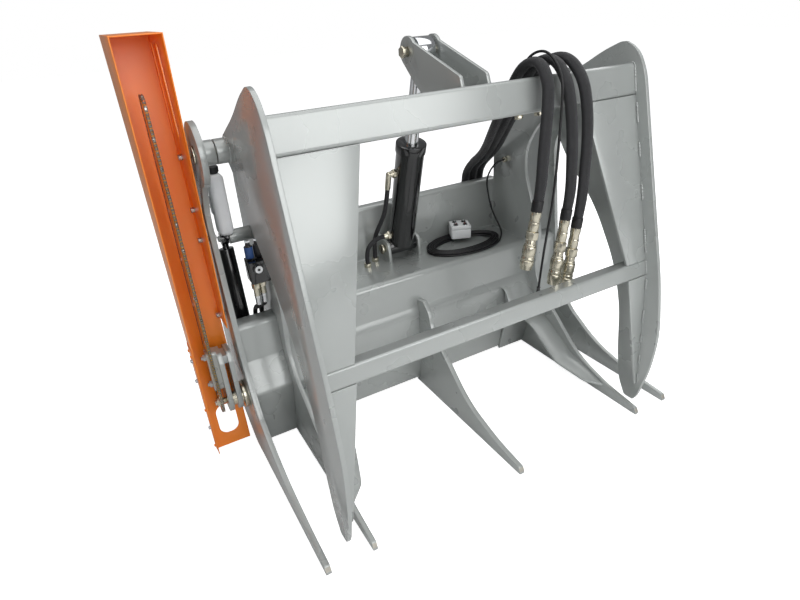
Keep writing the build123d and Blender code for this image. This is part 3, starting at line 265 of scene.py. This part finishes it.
def studioFloor():
    # pale seamless floor: white to the eye, shaded only where the part stands
    mat = newMaterial("paleFloor")
    wash = addNode(mat, "ShaderNodeBsdfDiffuse", {"Color": toLinear("#f2f2f2")})
    glow = addNode(mat, "ShaderNodeEmission", {"Color": (1, 1, 1, 1), "Strength": 0.86})
    both = addNode(mat, "ShaderNodeAddShader", links={0: wash.outputs[0], 1: glow.outputs[0]})
    seen = addNode(mat, "ShaderNodeLightPath")
    cast = addNode(mat, "ShaderNodeMixShader",
                   links={0: seen.outputs["Is Camera Ray"], 1: wash.outputs[0], 2: both.outputs[0]})
    addNode(mat, "ShaderNodeOutputMaterial", links={"Surface": cast.outputs[0]})
    return mat


finish = {
    "grey_paint": silverEnamel(),
    "orange_paint": orangePowder(),
    "bright_steel": metalFinish("nickelPlatedSteel", "#d6d0bd", 0.16),
    "zinc": metalFinish("zincPlatedSteel", "#b9bcc0", 0.28),
    "black_paint": plainFinish("glossBlackPaint", "#0e0e10", 0.10, 5, 0.04, coat=0.8),
    "chrome": metalFinish("hardChrome", "#e2e4e6", 0.05, worn=0.03),
    "bar_steel": plainFinish("goldLacqueredBar", "#f2c25e", 0.34, 8, 0.05, coat=0.25),
    "chain_steel": metalFinish("oiledChainSteel", "#8c877c", 0.26),
    "white_plastic": plainFinish("mouldedWhiteAbs", "#e9ebec", 0.32, 3, 0.05),
    "milky": plainFinish("milkyPolyethylene", "#f4f6f8", 0.30, 6, 0.05, glow=0.4),
    "black_rubber": plainFinish("smoothBlackRubber", "#151517", 0.38, 4, 0.10),
    "hose_sleeve": wovenSleeve(),
    "button_plastic": plainFinish("glossButtonPlastic", "#141416", 0.16, 4, 0.02, coat=0.5),
    "red_button": plainFinish("redButtonPlastic", "#8a2018", 0.18, 4, 0.02, coat=0.5),
    "blue_coil": plainFinish("blueMouldedCoil", "#2c4f86", 0.35, 3, 0.06),
    "bare_steel": metalFinish("sawnBareSteel", "#c9c5bb", 0.34),
}
floor.data.materials.append(studioFloor())
for name, obj in nodes.items():
    obj.data.materials.clear()
    obj.data.materials.append(finish[slotOf[name]])
print("materials made")


# cords
def routeLine(name, points):
    # NURBS line through a cord's route, and the points that it passes
    line = bpy.data.curves.new(name, "CURVE")
    line.dimensions = "3D"
    line.resolution_u = 10
    spline = line.splines.new("NURBS")
    spline.points.add(len(points) - 1)
    for spot, place in zip(spline.points, points):
        spot.co = (*place, 1)
    spline.order_u = 3
    spline.use_endpoint_u = True
    obj = bpy.data.objects.new(name, line)
    bpy.context.collection.objects.link(obj)
    bpy.context.view_layer.update()
    mesh = bpy.data.meshes.new_from_object(obj.evaluated_get(bpy.context.evaluated_depsgraph_get()))
    path = [v.co.copy() for v in mesh.vertices]
    bpy.data.meshes.remove(mesh)
    return obj, path


def lineLength(path):
    return sum((b - a).length for a, b in zip(path, path[1:]))


def cordTube(name, points, radius, around=4):
    # mesh tube along a route, its UV in metres along and around
    obj, path = routeLine(name, points)
    obj.data.bevel_depth = radius
    obj.data.bevel_resolution = around
    obj.data.use_fill_caps = True
    deselectAll()
    obj.select_set(True)
    bpy.context.view_layer.objects.active = obj
    bpy.ops.object.convert(target="MESH")
    obj = bpy.context.object
    bpy.ops.object.shade_smooth()
    layer = obj.data.uv_layers[0] if obj.data.uv_layers else obj.data.uv_layers.new(name="along")
    layer.name = "along"
    long, round_ = lineLength(path), 2 * pi * radius
    for spot in obj.data.uv_layers["along"].data:
        spot.uv = (spot.uv[0] * long, spot.uv[1] * round_)
    return obj, path


def flatten(obj, path, wide, thin, start, inCoupler):
    # a sleeve lies flatter and wider than the hose in it, from a share of its length on,
    # and is gripped round by its ferrule
    around = len(obj.data.vertices) // len(path)
    passed, total = [0.0], lineLength(path)
    for a, b in zip(path, path[1:]):
        passed.append(passed[-1] + (b - a).length)
    for i, spot in enumerate(obj.data.vertices):
        step = min(i // around, len(path) - 1)
        left = total - inCoupler - passed[step]
        share = min(max((passed[step] / total - start) / 0.12, 0), 1) * min(max(left / 0.07, 0), 1)
        shrink = 1 if left > -0.001 else 0.8
        offset = spot.co - path[step]
        spot.co = path[step] + shrink * Vector((offset.x * (1 + (wide - 1) * share),
                                                offset.y * (1 + (thin - 1) * share),
                                                offset.z * (1 + (thin - 1) * share)))


def mm(points):
    return [(x / 1000, y / 1000, z / 1000) for x, y, z in points]


plateIn = 560  # right inner plate's inner face, that the hose routes start from
hoseRoutes = {
    "hose_left": [
        (-98, 328, 660), (-98, 328, 738), (-98, 300, 788), (-110, 234, 834), (-138, 150, 882), (-177, 66, 938),
        (-238, -40, 1008), (-286, -140, 1088), (-312, -212, 1157), (-320, -258, 1222), (-334, -318, 1270),
        (-347, -394, 1282), (-357, -448, 1228), (-359, -453, 1160), (-362, -453, 1086), (-365, -453, 1010),
        (-366, -453, 930), (-379, -453, 853)],
    "hose_middle": [
        (-58, 328, 660), (-58, 328, 738), (-58, 300, 792), (-66, 230, 838), (-96, 150, 888), (-140, 58, 952),
        (-196, -50, 1026), (-238, -146, 1104), (-261, -214, 1168), (-271, -258, 1226), (-284, -318, 1274),
        (-288, -394, 1284), (-284, -448, 1226), (-266, -453, 1150), (-252, -453, 1072), (-244, -453, 986),
        (-238, -453, 892), (-252, -453, 798)],
    "hose_right": [
        (-18, 328, 660), (-18, 328, 742), (-18, 298, 798), (-28, 224, 852), (-54, 148, 904), (-98, 56, 974),
        (-152, -48, 1048), (-196, -142, 1120), (-222, -214, 1182), (-230, -260, 1234), (-236, -320, 1278),
        (-234, -396, 1284), (-220, -449, 1224), (-198, -453, 1142), (-186, -453, 1058), (-184, -453, 962),
        (-184, -453, 860), (-198, -453, 757)],
}
hoseDiameter = 0.032
inCoupler = 0.100  # the hose runs on inside its coupler
draped = {}
for name, points in hoseRoutes.items():
    route = mm([(plateIn + x, y, z) for x, y, z in points])
    end, along = Vector(route[-1]), (Vector(route[-1]) - Vector(route[-2])).normalized()
    obj, path = cordTube(name + "Sleeve", route + [end + along * inCoupler], hoseDiameter / 2, 6)
    flatten(obj, path, 1.3, 0.86, 0.42, inCoupler)
    obj.data.materials.append(finish["hose_sleeve"])
    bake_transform(obj)
    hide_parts(name)
    draped[name] = (obj, path, end, along)

powerRoute = mm([(plateIn + x, y, z) for x, y, z in [
    (-78, 346, 660), (-78, 346, 742), (-78, 322, 808), (-86, 244, 856), (-114, 160, 904), (-156, 70, 960),
    (-215, -36, 1034), (-260, -134, 1108), (-286, -202, 1176), (-296, -250, 1240), (-308, -318, 1298),
    (-316, -400, 1306), (-320, -466, 1240), (-317, -466, 1150), (-314, -462, 1060), (-312, -458, 960),
    (-314, -452, 850), (-322, -444, 740), (-328, -438, 640), (-331, -434, 560)]])
powerCable, powerPath = cordTube("powerCable", powerRoute, 0.004, 3)
powerCable.data.materials.append(finish["black_rubber"])
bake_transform(powerCable)
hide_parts("power_cable")

liftRoutes = {
    "lift_hose_upper": [(-49.5, 105.9, 836.7), (-49.5, 120.5, 786.8), (-55, 138, 727), (-64, 168, 676),
                        (-72, 198, 626),
                        (-76, 208, 576), (-76, 208, 528)],
    "lift_hose_lower": [(-49.5, 167.6, 625.5), (-76.5, 167.6, 625.5), (-105, 169, 611), (-123, 172, 587),
                        (-128, 174, 558),
                        (-128, 174, 528)],
}
for name, points in liftRoutes.items():
    obj, path = cordTube(name + "Sleeve", mm(points), 0.009, 5)
    obj.data.materials.append(finish["hose_sleeve"])
    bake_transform(obj)
    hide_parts(name)

bayRoutes = {
    "bay_hose_front": (-626, -6, [(0, 0, 605), (0, 0, 578), (1, 26, 555), (2, 64, 541), (1, 97, 511),
                                  (0, 110, 456), (0, 110, 400)]),
    "bay_hose_rear": (-603, 2, [(0, 0, 605), (0, 0, 580), (1, 24, 558), (2, 60, 543), (2, 90, 510),
                                (1, 101, 456), (1, 101, 400)]),
}
for name, (x, y, points) in bayRoutes.items():
    obj, path = cordTube(name + "Tube", mm([(x + a, y + b, c) for a, b, c in points]), 0.008, 5)
    obj.data.materials.append(finish["black_rubber"])
    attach(obj, "frame")
    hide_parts(name)

cableRoute = [(546, 160, 834), (518, 160, 834), (492, 172, 806), (480, 188, 762), (488, 194, 712),
              (504, 197, 650),
              (524, 198, 596), (536, 178, 552), (530, 144, 528), (508, 112, 518)]
coilAt, coilHalf, coilTurns, stepsPerTurn = (315, 128), (188, 114), 4, 28
steps = coilTurns * stepsPerTurn
# lower layer inwards, upper layer out again
for layer, height, last in ((0, 516.6, steps - 1), (1, 525.6, steps - 6)):
    for i in range(2, last):
        turnAt = radians(-360 * i / stepsPerTurn)
        inset = 7 + 10.5 * coilTurns * (i / steps if layer == 0 else 1 - i / steps)
        cableRoute.append((coilAt[0] + (coilHalf[0] - inset) * cos(turnAt),
                           coilAt[1] + (coilHalf[1] - inset) * sin(turnAt), height))
cableRoute += [(349, 225, 531), (344, 218, 537), (339, 207, 543)]  # up into the box
controlCable, cablePath = cordTube("controlCable", mm(cableRoute), 0.004, 2)
controlCable.data.materials.append(finish["black_rubber"])
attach(controlCable, "frame")
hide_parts("control_cable", "cable_coil")
print("cords made")


# shaping helpers
def settle(obj, body, finishName, *stands, angle=32):
    # finish, slot, smooth shading, body and the CAD nodes that the piece stands for
    deselectAll()
    obj.select_set(True)
    bpy.context.view_layer.objects.active = obj
    bpy.ops.object.transform_apply(location=True, rotation=True, scale=True)
    bpy.ops.object.shade_smooth_by_angle(angle=radians(angle))
    obj.data.materials.clear()
    obj.data.materials.append(finish[finishName])
    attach(obj, body)
    if stands:
        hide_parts(*stands)
    return obj


def apply(obj, kind, **settings):
    deselectAll()
    obj.select_set(True)
    bpy.context.view_layer.objects.active = obj
    modifier = obj.modifiers.new(kind.lower(), kind)
    for key, value in settings.items():
        setattr(modifier, key, value)
    bpy.ops.object.modifier_apply(modifier=modifier.name)


def roundedCopy(node, edge, finishName=None, segments=2, name=None):
    # copy of a CAD piece with its edges rounded
    source = nodes[node]
    obj = bpy.data.objects.new(name or node + "Plate", source.data.copy())
    bpy.context.collection.objects.link(obj)
    obj.data.transform(source.matrix_world)
    deselectAll()
    obj.select_set(True)
    bpy.context.view_layer.objects.active = obj
    bpy.ops.object.mode_set(mode="EDIT")
    bpy.ops.mesh.select_all(action="SELECT")
    bpy.ops.mesh.remove_doubles(threshold=0.00002)
    bpy.ops.mesh.dissolve_limited(angle_limit=radians(1.0))
    bpy.ops.object.mode_set(mode="OBJECT")
    apply(obj, "BEVEL", width=edge, segments=segments, limit_method="ANGLE", angle_limit=radians(35),
          harden_normals=False)
    return settle(obj, bodyOf[node], finishName or slotOf[node], node)


def aimed(obj, at, along):
    # turns a piece made up the Z axis to a direction and moves it to its place
    obj.matrix_world = Matrix.Translation(at) @ Vector(along).to_track_quat("Z", "Y").to_matrix().to_4x4()
    return obj


def turned(name, profile, sides=40):
    # turned or hexagonal part: a disc extruded step by step up Z, profile is (height, radius)
    deselectAll()
    bpy.ops.mesh.primitive_circle_add(vertices=sides, radius=profile[0][1], fill_type="NGON",
                                      location=(0, 0, profile[0][0]))
    obj = bpy.context.object
    obj.name = name
    bpy.ops.object.transform_apply(location=True, rotation=True, scale=True)
    bpy.ops.object.mode_set(mode="EDIT")
    bpy.ops.mesh.select_mode(type="FACE")
    bpy.ops.mesh.select_all(action="SELECT")
    for (z, r), (nextZ, nextR) in zip(profile, profile[1:]):
        bpy.ops.mesh.extrude_region_move(TRANSFORM_OT_translate={"value": (0, 0, nextZ - z)})
        bpy.ops.transform.resize(value=(nextR / r, nextR / r, 1))
    bpy.ops.mesh.select_mode(type="EDGE")
    bpy.ops.mesh.select_all(action="DESELECT")
    bpy.ops.mesh.select_non_manifold()
    bpy.ops.mesh.edge_face_add()
    bpy.ops.mesh.select_all(action="SELECT")
    bpy.ops.mesh.normals_make_consistent(inside=False)
    bpy.ops.object.mode_set(mode="OBJECT")
    return obj


def box(name, size, at, edge=0.001, segments=2):
    deselectAll()
    bpy.ops.mesh.primitive_cube_add(size=1, location=at)
    obj = bpy.context.object
    obj.name = name
    obj.scale = size
    bpy.ops.object.transform_apply(location=True, rotation=True, scale=True)
    if edge:
        apply(obj, "BEVEL", width=edge, segments=segments, limit_method="ANGLE", angle_limit=radians(35))
    return obj


def joined(name, parts):
    deselectAll()
    for part in parts:
        part.select_set(True)
    bpy.context.view_layer.objects.active = parts[0]
    bpy.ops.object.join()
    parts[0].name = name
    return parts[0]


def cloned(obj, matrix):
    # copy with its own mesh, moved in the row frame
    twin = bpy.data.objects.new(obj.name, obj.data.copy())
    bpy.context.collection.objects.link(twin)
    twin.data.transform(matrix @ obj.matrix_world)
    return twin


# plates, tubes and castings
for node, edge in {
    "outer_plate_left": 0.0014, "outer_plate_right": 0.0014, "inner_plate_left": 0.0014,
    "inner_plate_right": 0.0014,
    "jaw_plate_left": 0.0014, "jaw_plate_right": 0.0014, "jaw_bosses": 0.0016, "frame_bosses": 0.0016,
    "top_tube": 0.0008,
    "low_tube": 0.0008, "jaw_flanges": 0.0012, "cylinder_ears": 0.0014, "centre_tine": 0.0014,
    "beam_skin": 0.0012,
    "trough_plate": 0.001, "bay_skins": 0.0012, "attach_plate": 0.001, "tine_wings": 0.0012,
    "lift_lugs": 0.0014,
    "saw_arm": 0.0014, "bar_clamp": 0.0012, "saw_hub": 0.0012, "saw_motor": 0.002, "guide_bar": 0.0006,
    "drive_sprocket": 0.0006, "swing_bearing": 0.001, "swing_top_pin": 0.0015, "swing_barrel": 0.001,
    "swing_rod": 0.001,
    "lift_barrel": 0.0016, "lift_rod": 0.001, "ear_pin": 0.0012, "frame_pins": 0.0014, "tube_bolts": 0.001,
    "saw_guard": 0.0007, "guard_side_cover": 0.0007, "guard_bolts": 0.0008, "hose_fittings": 0.0008,
    "lift_ports": 0.001,
    "cable_gland": 0.0008, "valve_block": 0.0012, "hose_bracket": 0.001,
}.items():
    roundedCopy(node, edge)
print("plates rounded")


# couplers on the draped hoses
coupler = {"left": 196, "middle": 232, "right": 218}
couplerParts = {}
for side, long in coupler.items():
    obj, path, end, along = draped["hose_" + side]
    k = long / 1000
    parts = [
        ("ferrule", [(0.0, 0.0172), (0.10 * k, 0.0176), (0.12 * k, 0.0160), (0.20 * k, 0.0160),
                     (0.21 * k, 0.0174), (0.33 * k, 0.0170), (0.35 * k, 0.0150)], 40, "bright_steel"),
        ("nut", [(0.35 * k, 0.0195), (0.36 * k, 0.0210), (0.48 * k, 0.0210), (0.49 * k, 0.0195)], 6,
         "bright_steel"),
        ("neck", [(0.49 * k, 0.0165), (0.56 * k, 0.0165), (0.57 * k, 0.0190), (0.60 * k, 0.0190)], 40,
         "bright_steel"),
        ("sleeve", [(0.60 * k, 0.0202), (0.62 * k, 0.0214), (0.74 * k, 0.0214), (0.75 * k, 0.0198),
                    (0.79 * k, 0.0198), (0.80 * k, 0.0210), (0.83 * k, 0.0210)], 48, "bright_steel"),
        ("endRing", [(0.83 * k, 0.0180), (0.85 * k, 0.0218), (0.93 * k, 0.0218), (0.95 * k, 0.0200),
                     (1.0 * k, 0.0200)], 40, "bright_steel"),
    ]
    made = []
    for part, profile, sides, skin in parts:
        piece = aimed(turned(side + "Coupler_" + part, profile, sides), end, along)
        if part == "endRing":
            deselectAll()
            bpy.context.view_layer.objects.active = piece
            piece.select_set(True)
            bpy.ops.object.mode_set(mode="EDIT")
            bpy.ops.mesh.select_all(action="DESELECT")
            bpy.ops.object.mode_set(mode="OBJECT")
            tip = max(piece.data.polygons, key=lambda f: f.center.z)
            tip.select = True
            bpy.ops.object.mode_set(mode="EDIT")
            bpy.ops.mesh.select_mode(type="FACE")
            bpy.ops.mesh.inset(thickness=0.004)
            depth = piece.matrix_world.to_3x3() @ Vector((0, 0, -0.018))
            bpy.ops.mesh.extrude_region_move(TRANSFORM_OT_translate={"value": tuple(depth)})
            bpy.ops.object.mode_set(mode="OBJECT")
        apply(piece, "BEVEL", width=0.0006, segments=2, limit_method="ANGLE", angle_limit=radians(30))
        made.append(settle(piece, "jaw", skin))
    band = aimed(turned(side + "Band", [(-0.030, 0.0176), (-0.028, 0.0182), (0.003, 0.0182), (0.005, 0.0176)],
                        40), end, along)
    made.append(settle(band, "jaw", "black_rubber"))
    couplerParts[side] = made
    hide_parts("hose_couplers")
for side, made in couplerParts.items():
    obj, path = draped["hose_" + side][:2]
plugEnd = settle(aimed(turned("powerPlug", [(-0.002, 0.005), (0.0, 0.0065), (0.03, 0.0065), (0.034, 0.005)],
                              24), powerPath[-1],
                       powerPath[-1] - powerPath[-2]), "jaw", "button_plastic")
print("couplers made")


# saw chain
def chainLine():
    # closed line that the chain's rivets lie on, worked out from the bar's own sizes
    points = [(30, 186), (-7, 196), (-13, 260), (-8, 400), (-19, 650), (-15, 900), (4, 1180), (8, 1262),
              (40, 1268), (74, 1262),
              (78, 1180), (94, 900), (97, 650), (86, 400), (70, 260), (66, 196)]
    obj, path = routeLine("chainLine", [(barX, y / 1000, z / 1000) for y, z in points + points[:1]])
    bpy.data.objects.remove(obj)
    return path


barX = -0.822
line = chainLine()
total = lineLength(line)
pitch = 0.0205
count = int(total / pitch)
strap = box("strap", (0.0018, 0.0185, 0.0085), (0, 0, 0), 0.0006, 1)
tooth = box("cutterTooth", (0.0090, 0.0110, 0.0035), (0, 0.0015, 0.0085), 0.0008, 1)
rivetPin = turned("rivetPin", [(-0.0046, 0.0026), (0.0046, 0.0026)], 10)
rivetPin.matrix_world = Matrix.Rotation(radians(90), 4, "Y")
links, metal = [], []
step, walked, index = total / count, 0.0, 0
for i in range(count):
    target = i * step
    while index < len(line) - 2 and walked + (line[index + 1] - line[index]).length < target:
        walked += (line[index + 1] - line[index]).length
        index += 1
    seg = line[index + 1] - line[index]
    at = line[index] + seg.normalized() * (target - walked)
    lean = Matrix.Translation(at) @ Matrix.Rotation(atan2(seg.z, seg.y), 4, "X")
    for aside in (-0.0034, 0.0034):
        links.append(cloned(strap, lean @ Matrix.Translation((aside, 0, 0))))
    links.append(cloned(rivetPin, lean @ Matrix.Translation((0, 0.0051, 0))))
    links.append(cloned(rivetPin, lean @ Matrix.Translation((0, -0.0051, 0))))
    if i % 4 == 0:
        metal.append(cloned(tooth, lean @ Matrix.Translation((0.0012 if i % 8 else -0.0012, 0, -0.0150))))
for spare in (strap, tooth, rivetPin):
    bpy.data.objects.remove(spare)
settle(joined("sawChainLinks", links), "saw", "chain_steel", "saw_chain")
settle(joined("sawChainCutters", metal), "saw", "chrome")
print("chain made", count)


# control box, buttons and bottle
boxAt, boxTurn = Vector((0.334, 0.186, 0.530)), Matrix.Rotation(radians(-24), 4, "Z")
boxPlace = Matrix.Translation(boxAt) @ boxTurn
shell = box("controlBoxCase", (0.086, 0.080, 0.042), (0, 0, 0.021), 0.006, 3)
lid = box("controlBoxLid", (0.086, 0.080, 0.0150), (0, 0, 0.0505), 0.004, 3)
for part in (shell, lid):
    part.data.transform(boxPlace)
settle(shell, "frame", "white_plastic", "control_box")
settle(lid, "frame", "white_plastic")
screws = []
for x in (-0.037, 0.037):
    for y in (-0.034, 0.034):
        head = turned("screwHead", [(0.0578, 0.0030), (0.0588, 0.0026)], 16)
        head.data.transform(boxPlace @ Matrix.Translation((x, y, 0)))
        screws.append(head)
settle(joined("boxScrews", screws), "frame", "zinc")
for number, (x, y) in enumerate(((-0.020, -0.018), (0.020, -0.018), (-0.020, 0.018), (0.020, 0.018)), 1):
    cap = turned(f"buttonCap{number}", [(0.0495, 0.0078), (0.0635, 0.0080), (0.0648, 0.0070)], 32)
    cap.data.transform(boxPlace @ Matrix.Translation((x, y, 0)))
    settle(cap, f"button_{number}", "button_plastic", f"button_{number}")
    bezel = turned(f"buttonBezel{number}",
                   [(0.0575, 0.0112), (0.0590, 0.0108), (0.0590, 0.0090), (0.0575, 0.0088)], 32)
    bezel.data.transform(boxPlace @ Matrix.Translation((x, y, 0)))
    settle(bezel, "frame", "chrome" if number in (2, 3) else "button_plastic")
    dot = turned(f"buttonDot{number}", [(0.0646, 0.0042), (0.0652, 0.0036)], 24)
    dot.data.transform(boxPlace @ Matrix.Translation((x, y, 0)))
    settle(dot, f"button_{number}", "red_button" if number in (1, 2) else "white_plastic")

bottle = box("bottleBody", (0.050, 0.062, 0.205), (-0.665, 0.107, 0.9075), 0.018, 5)
settle(bottle, "frame", "milky", "oil_bottle", angle=50)
neckCap = turned("bottleCap", [(1.0098, 0.0150), (1.0135, 0.0150), (1.0140, 0.0185), (1.0300, 0.0190),
                               (1.0320, 0.0170)], 36)
neckCap.data.transform(Matrix.Translation((-0.665, 0.107, 0)))
settle(neckCap, "frame", "black_rubber")
bottleStrap = box("bottleStrap", (0.0020, 0.030, 0.060), (-0.691, 0.119, 0.9075), 0.0006, 1)
settle(bottleStrap, "frame", "zinc")


# bay equipment
valveX, valveY, valveTop = -0.638, 0.020, 0.733
for number, x in enumerate((valveX + 0.016, valveX + 0.046)):
    can = turned(f"coilCan{number}", [(valveTop + 0.004, 0.0130), (valveTop + 0.006, 0.0142),
                                      (valveTop + 0.044, 0.0142), (valveTop + 0.046, 0.0130)], 32)
    can.data.transform(Matrix.Translation((x, valveY, 0)))
    settle(can, "frame", "blue_coil" if number == 0 else "black_rubber")
    nut = turned(f"coilNut{number}", [(valveTop + 0.0585, 0.0075), (valveTop + 0.0600, 0.0090),
                                      (valveTop + 0.0660, 0.0090)], 6)
    nut.data.transform(Matrix.Translation((x, valveY, 0)))
    settle(nut, "frame", "chrome")
plugFace = aimed(turned("valvePlugRing", [(0.0, 0.0125), (0.0015, 0.0125), (0.0022, 0.0115)], 32),
                 (-0.612, -0.032, 0.711), (0, -1, 0))
settle(plugFace, "frame", "white_plastic")
plugCore = aimed(turned("valvePlugSocket", [(0.0, 0.0050), (0.0010, 0.0048)], 6), (-0.612, -0.0340, 0.711),
                 (0, -1, 0))
settle(plugCore, "frame", "button_plastic")
for number, (x, y) in enumerate(((-0.626, -0.006), (-0.603, 0.002))):
    collar = turned(f"bayFerrule{number}",
                    [(0.578, 0.0098), (0.580, 0.0106), (0.602, 0.0106), (0.604, 0.0116), (0.612, 0.0116)], 28)
    collar.data.transform(Matrix.Translation((x, y, 0)))
    settle(collar, "frame", "chrome")
print("equipment made")


# guard bolts and other fastenings
heads = []
for z in (0.532, 0.810, 0.912, 1.078):
    bolt = aimed(turned("guardBoltHead", [(0.0, 0.0100), (0.0016, 0.0100), (0.0016, 0.0086), (0.0105, 0.0086),
                                          (0.0115, 0.0076)], 28), (-0.748, 0.090, z), (-1, 0, 0))
    heads.append(bolt)
    nut = aimed(turned("plateNut", [(0.0, 0.0125), (0.0018, 0.0125), (0.0018, 0.0100), (0.0092, 0.0100),
                                    (0.0100, 0.0088)], 24), (-0.712, 0.090, z), (1, 0, 0))
    heads.append(nut)
settle(joined("guardBoltHeads", heads), "frame", "zinc")
screwsLow = []
for y, z in ((0.045, 0.120), (0.060, 0.320), (0.030, 0.420)):
    screwsLow.append(aimed(turned("coverBolt",
                                  [(0.0, 0.0085), (0.0015, 0.0085), (0.0015, 0.0065), (0.0065, 0.0062),
                                   (0.0075, 0.0050)], 20), (-0.877, y, z), (-1, 0, 0)))
settle(joined("coverBolts", screwsLow), "frame", "zinc")


# welds
def weldSeams(name, body, seams, size=0.0042, pitchMm=5.0):
    # beads of overlapping ripples along straight runs, each bulge one point of the seam's own line
    deselectAll()
    line = bpy.data.curves.new(name, "CURVE")
    line.dimensions = "3D"
    line.bevel_depth = size
    line.bevel_resolution = 1
    line.use_fill_caps = True
    for start, end in seams:
        a, b = Vector(start), Vector(end)
        number = max(4, int((b - a).length * 1000 / (pitchMm / 2)))
        spline = line.splines.new("POLY")
        spline.points.add(number)
        for i, spot in enumerate(spline.points):
            sway = 0.0004 * sin(i * 1.7)
            spot.co = (*(a.lerp(b, i / number) + Vector((sway, sway, sway))), 1)
            spot.radius = (1.0 if i % 2 else 0.78) * (0.5 if i in (0, number) else 1.0)
    obj = bpy.data.objects.new(name, line)
    bpy.context.collection.objects.link(obj)
    obj.select_set(True)
    bpy.context.view_layer.objects.active = obj
    bpy.ops.object.convert(target="MESH")
    return settle(bpy.context.object, body, "grey_paint", angle=60)


def ringSeam(x, y, z, radius, sides=30):
    # bead round a boss, as short runs
    spots = [(x, y + radius * cos(2 * pi * i / sides),
              z + radius * sin(2 * pi * i / sides)) for i in range(sides + 1)]
    return list(zip(spots, spots[1:]))


jawIn, jawOut, lean = 0.620, 0.634, radians(11.5)


def tubePoint(corner, size, along, down):
    return (corner[0] + along * size * cos(lean) - down * size * sin(lean),
            corner[1] - along * size * sin(lean) - down * size * cos(lean))


topCorner, lowCorner = (-0.394, 1.240), (-0.549, 0.600)
seams = []
for side in (-1, 1):
    x = side * (jawIn - 0.001)
    for corner, size in ((topCorner, 0.100), (lowCorner, 0.058)):
        spots = [tubePoint(corner, size, a, d) for a,
                 d in ((0, 0.06), (0, 0.94), (0.06, 1), (0.94, 1), (1, 0.94), (1, 0.06), (0.94, 0), (0.06, 0))]
        for i in range(0, 8, 2):
            seams.append(((x, *spots[i]), (x, *spots[i + 1])))
        seams.append(((x, *spots[0]), (x, *spots[7])))
    a, b = tubePoint(topCorner, 0.100, 0, 1), tubePoint(lowCorner, 0.058, 0, 0)
    c, d = tubePoint(lowCorner, 0.058, 0, 1), (-0.596, 0.090)
    for (start, end), runs in (((a, b), ((0.04, 0.16), (0.27, 0.36), (0.52, 0.62), (0.80, 0.96))),
                               ((c, d), ((0.03, 0.12), (0.30, 0.42), (0.52, 0.60), (0.72, 0.80),
                                         (0.90, 0.98)))):
        for low, high in runs:
            seams.append(tuple((x, start[0] + (end[0] - start[0]) * t - 0.002,
                                start[1] + (end[1] - start[1]) * t) for t in (low, high)))
weldSeams("jawSeams", "jaw", seams, 0.0046)
rings = []
for side in (-1, 1):
    rings += ringSeam(side * (jawOut + 0.0008), -0.020, 1.100, 0.0372) + ringSeam(side * (jawIn - 0.0008),
            -0.020, 1.100, 0.0372)
weldSeams("jawBossSeams", "jaw", rings, 0.0040, 7.0)
rings = []
for side in (-1, 1):
    rings += ringSeam(side * 0.7112, -0.020, 1.100, 0.0372) + ringSeam(side * 0.5768, -0.020, 1.100, 0.0372)
weldSeams("frameBossSeams", "frame", rings, 0.0040, 7.0)
seams = []
for x in (0.035 - 0.076, 0.035 - 0.064, 0.035 + 0.064, 0.035 + 0.076):
    seams.append(((x, 0.148, 0.5125), (x, 0.240, 0.5125)))
for x in (-0.5595, 0.5595):
    seams.append(((x, 0.010, 0.5125), (x, 0.243, 0.5125)))
    seams.append(((x, 0.2435, 0.520), (x, 0.2435, 0.728)))
seams.append(((-0.558, 0.2435, 0.5125), (0.558, 0.2435, 0.5125)))
weldSeams("frameSeams", "frame", seams, 0.0036)
seams = []
for x in (0.035 - 0.053, 0.035 - 0.041, 0.035 + 0.041, 0.035 + 0.053):
    a, b = tubePoint(topCorner, 0.100, 0.62, 0), tubePoint(topCorner, 0.100, 0.99, 0)
    seams.append(((x, *a), (x, *b)))
weldSeams("earSeams", "jaw", seams, 0.0036)
print("welds made")


# bare faces at the tine tips
tips = []
for x, wide in ((-0.721, 0.018), (0.721, 0.018), (-0.568, 0.016), (0.568, 0.016), (0, 0.020)):
    plate = box("tip", (wide - 0.001, 0.0006, 0.015), (0, 0, 0), 0)
    plate.data.transform(Matrix.Translation((x, -0.6502, 0.0158)) @ Matrix.Rotation(radians(-26.6), 4, "X"))
    tips.append(plate)
settle(joined("tineTipFaces", tips), "frame", "bare_steel")
print("tips made")
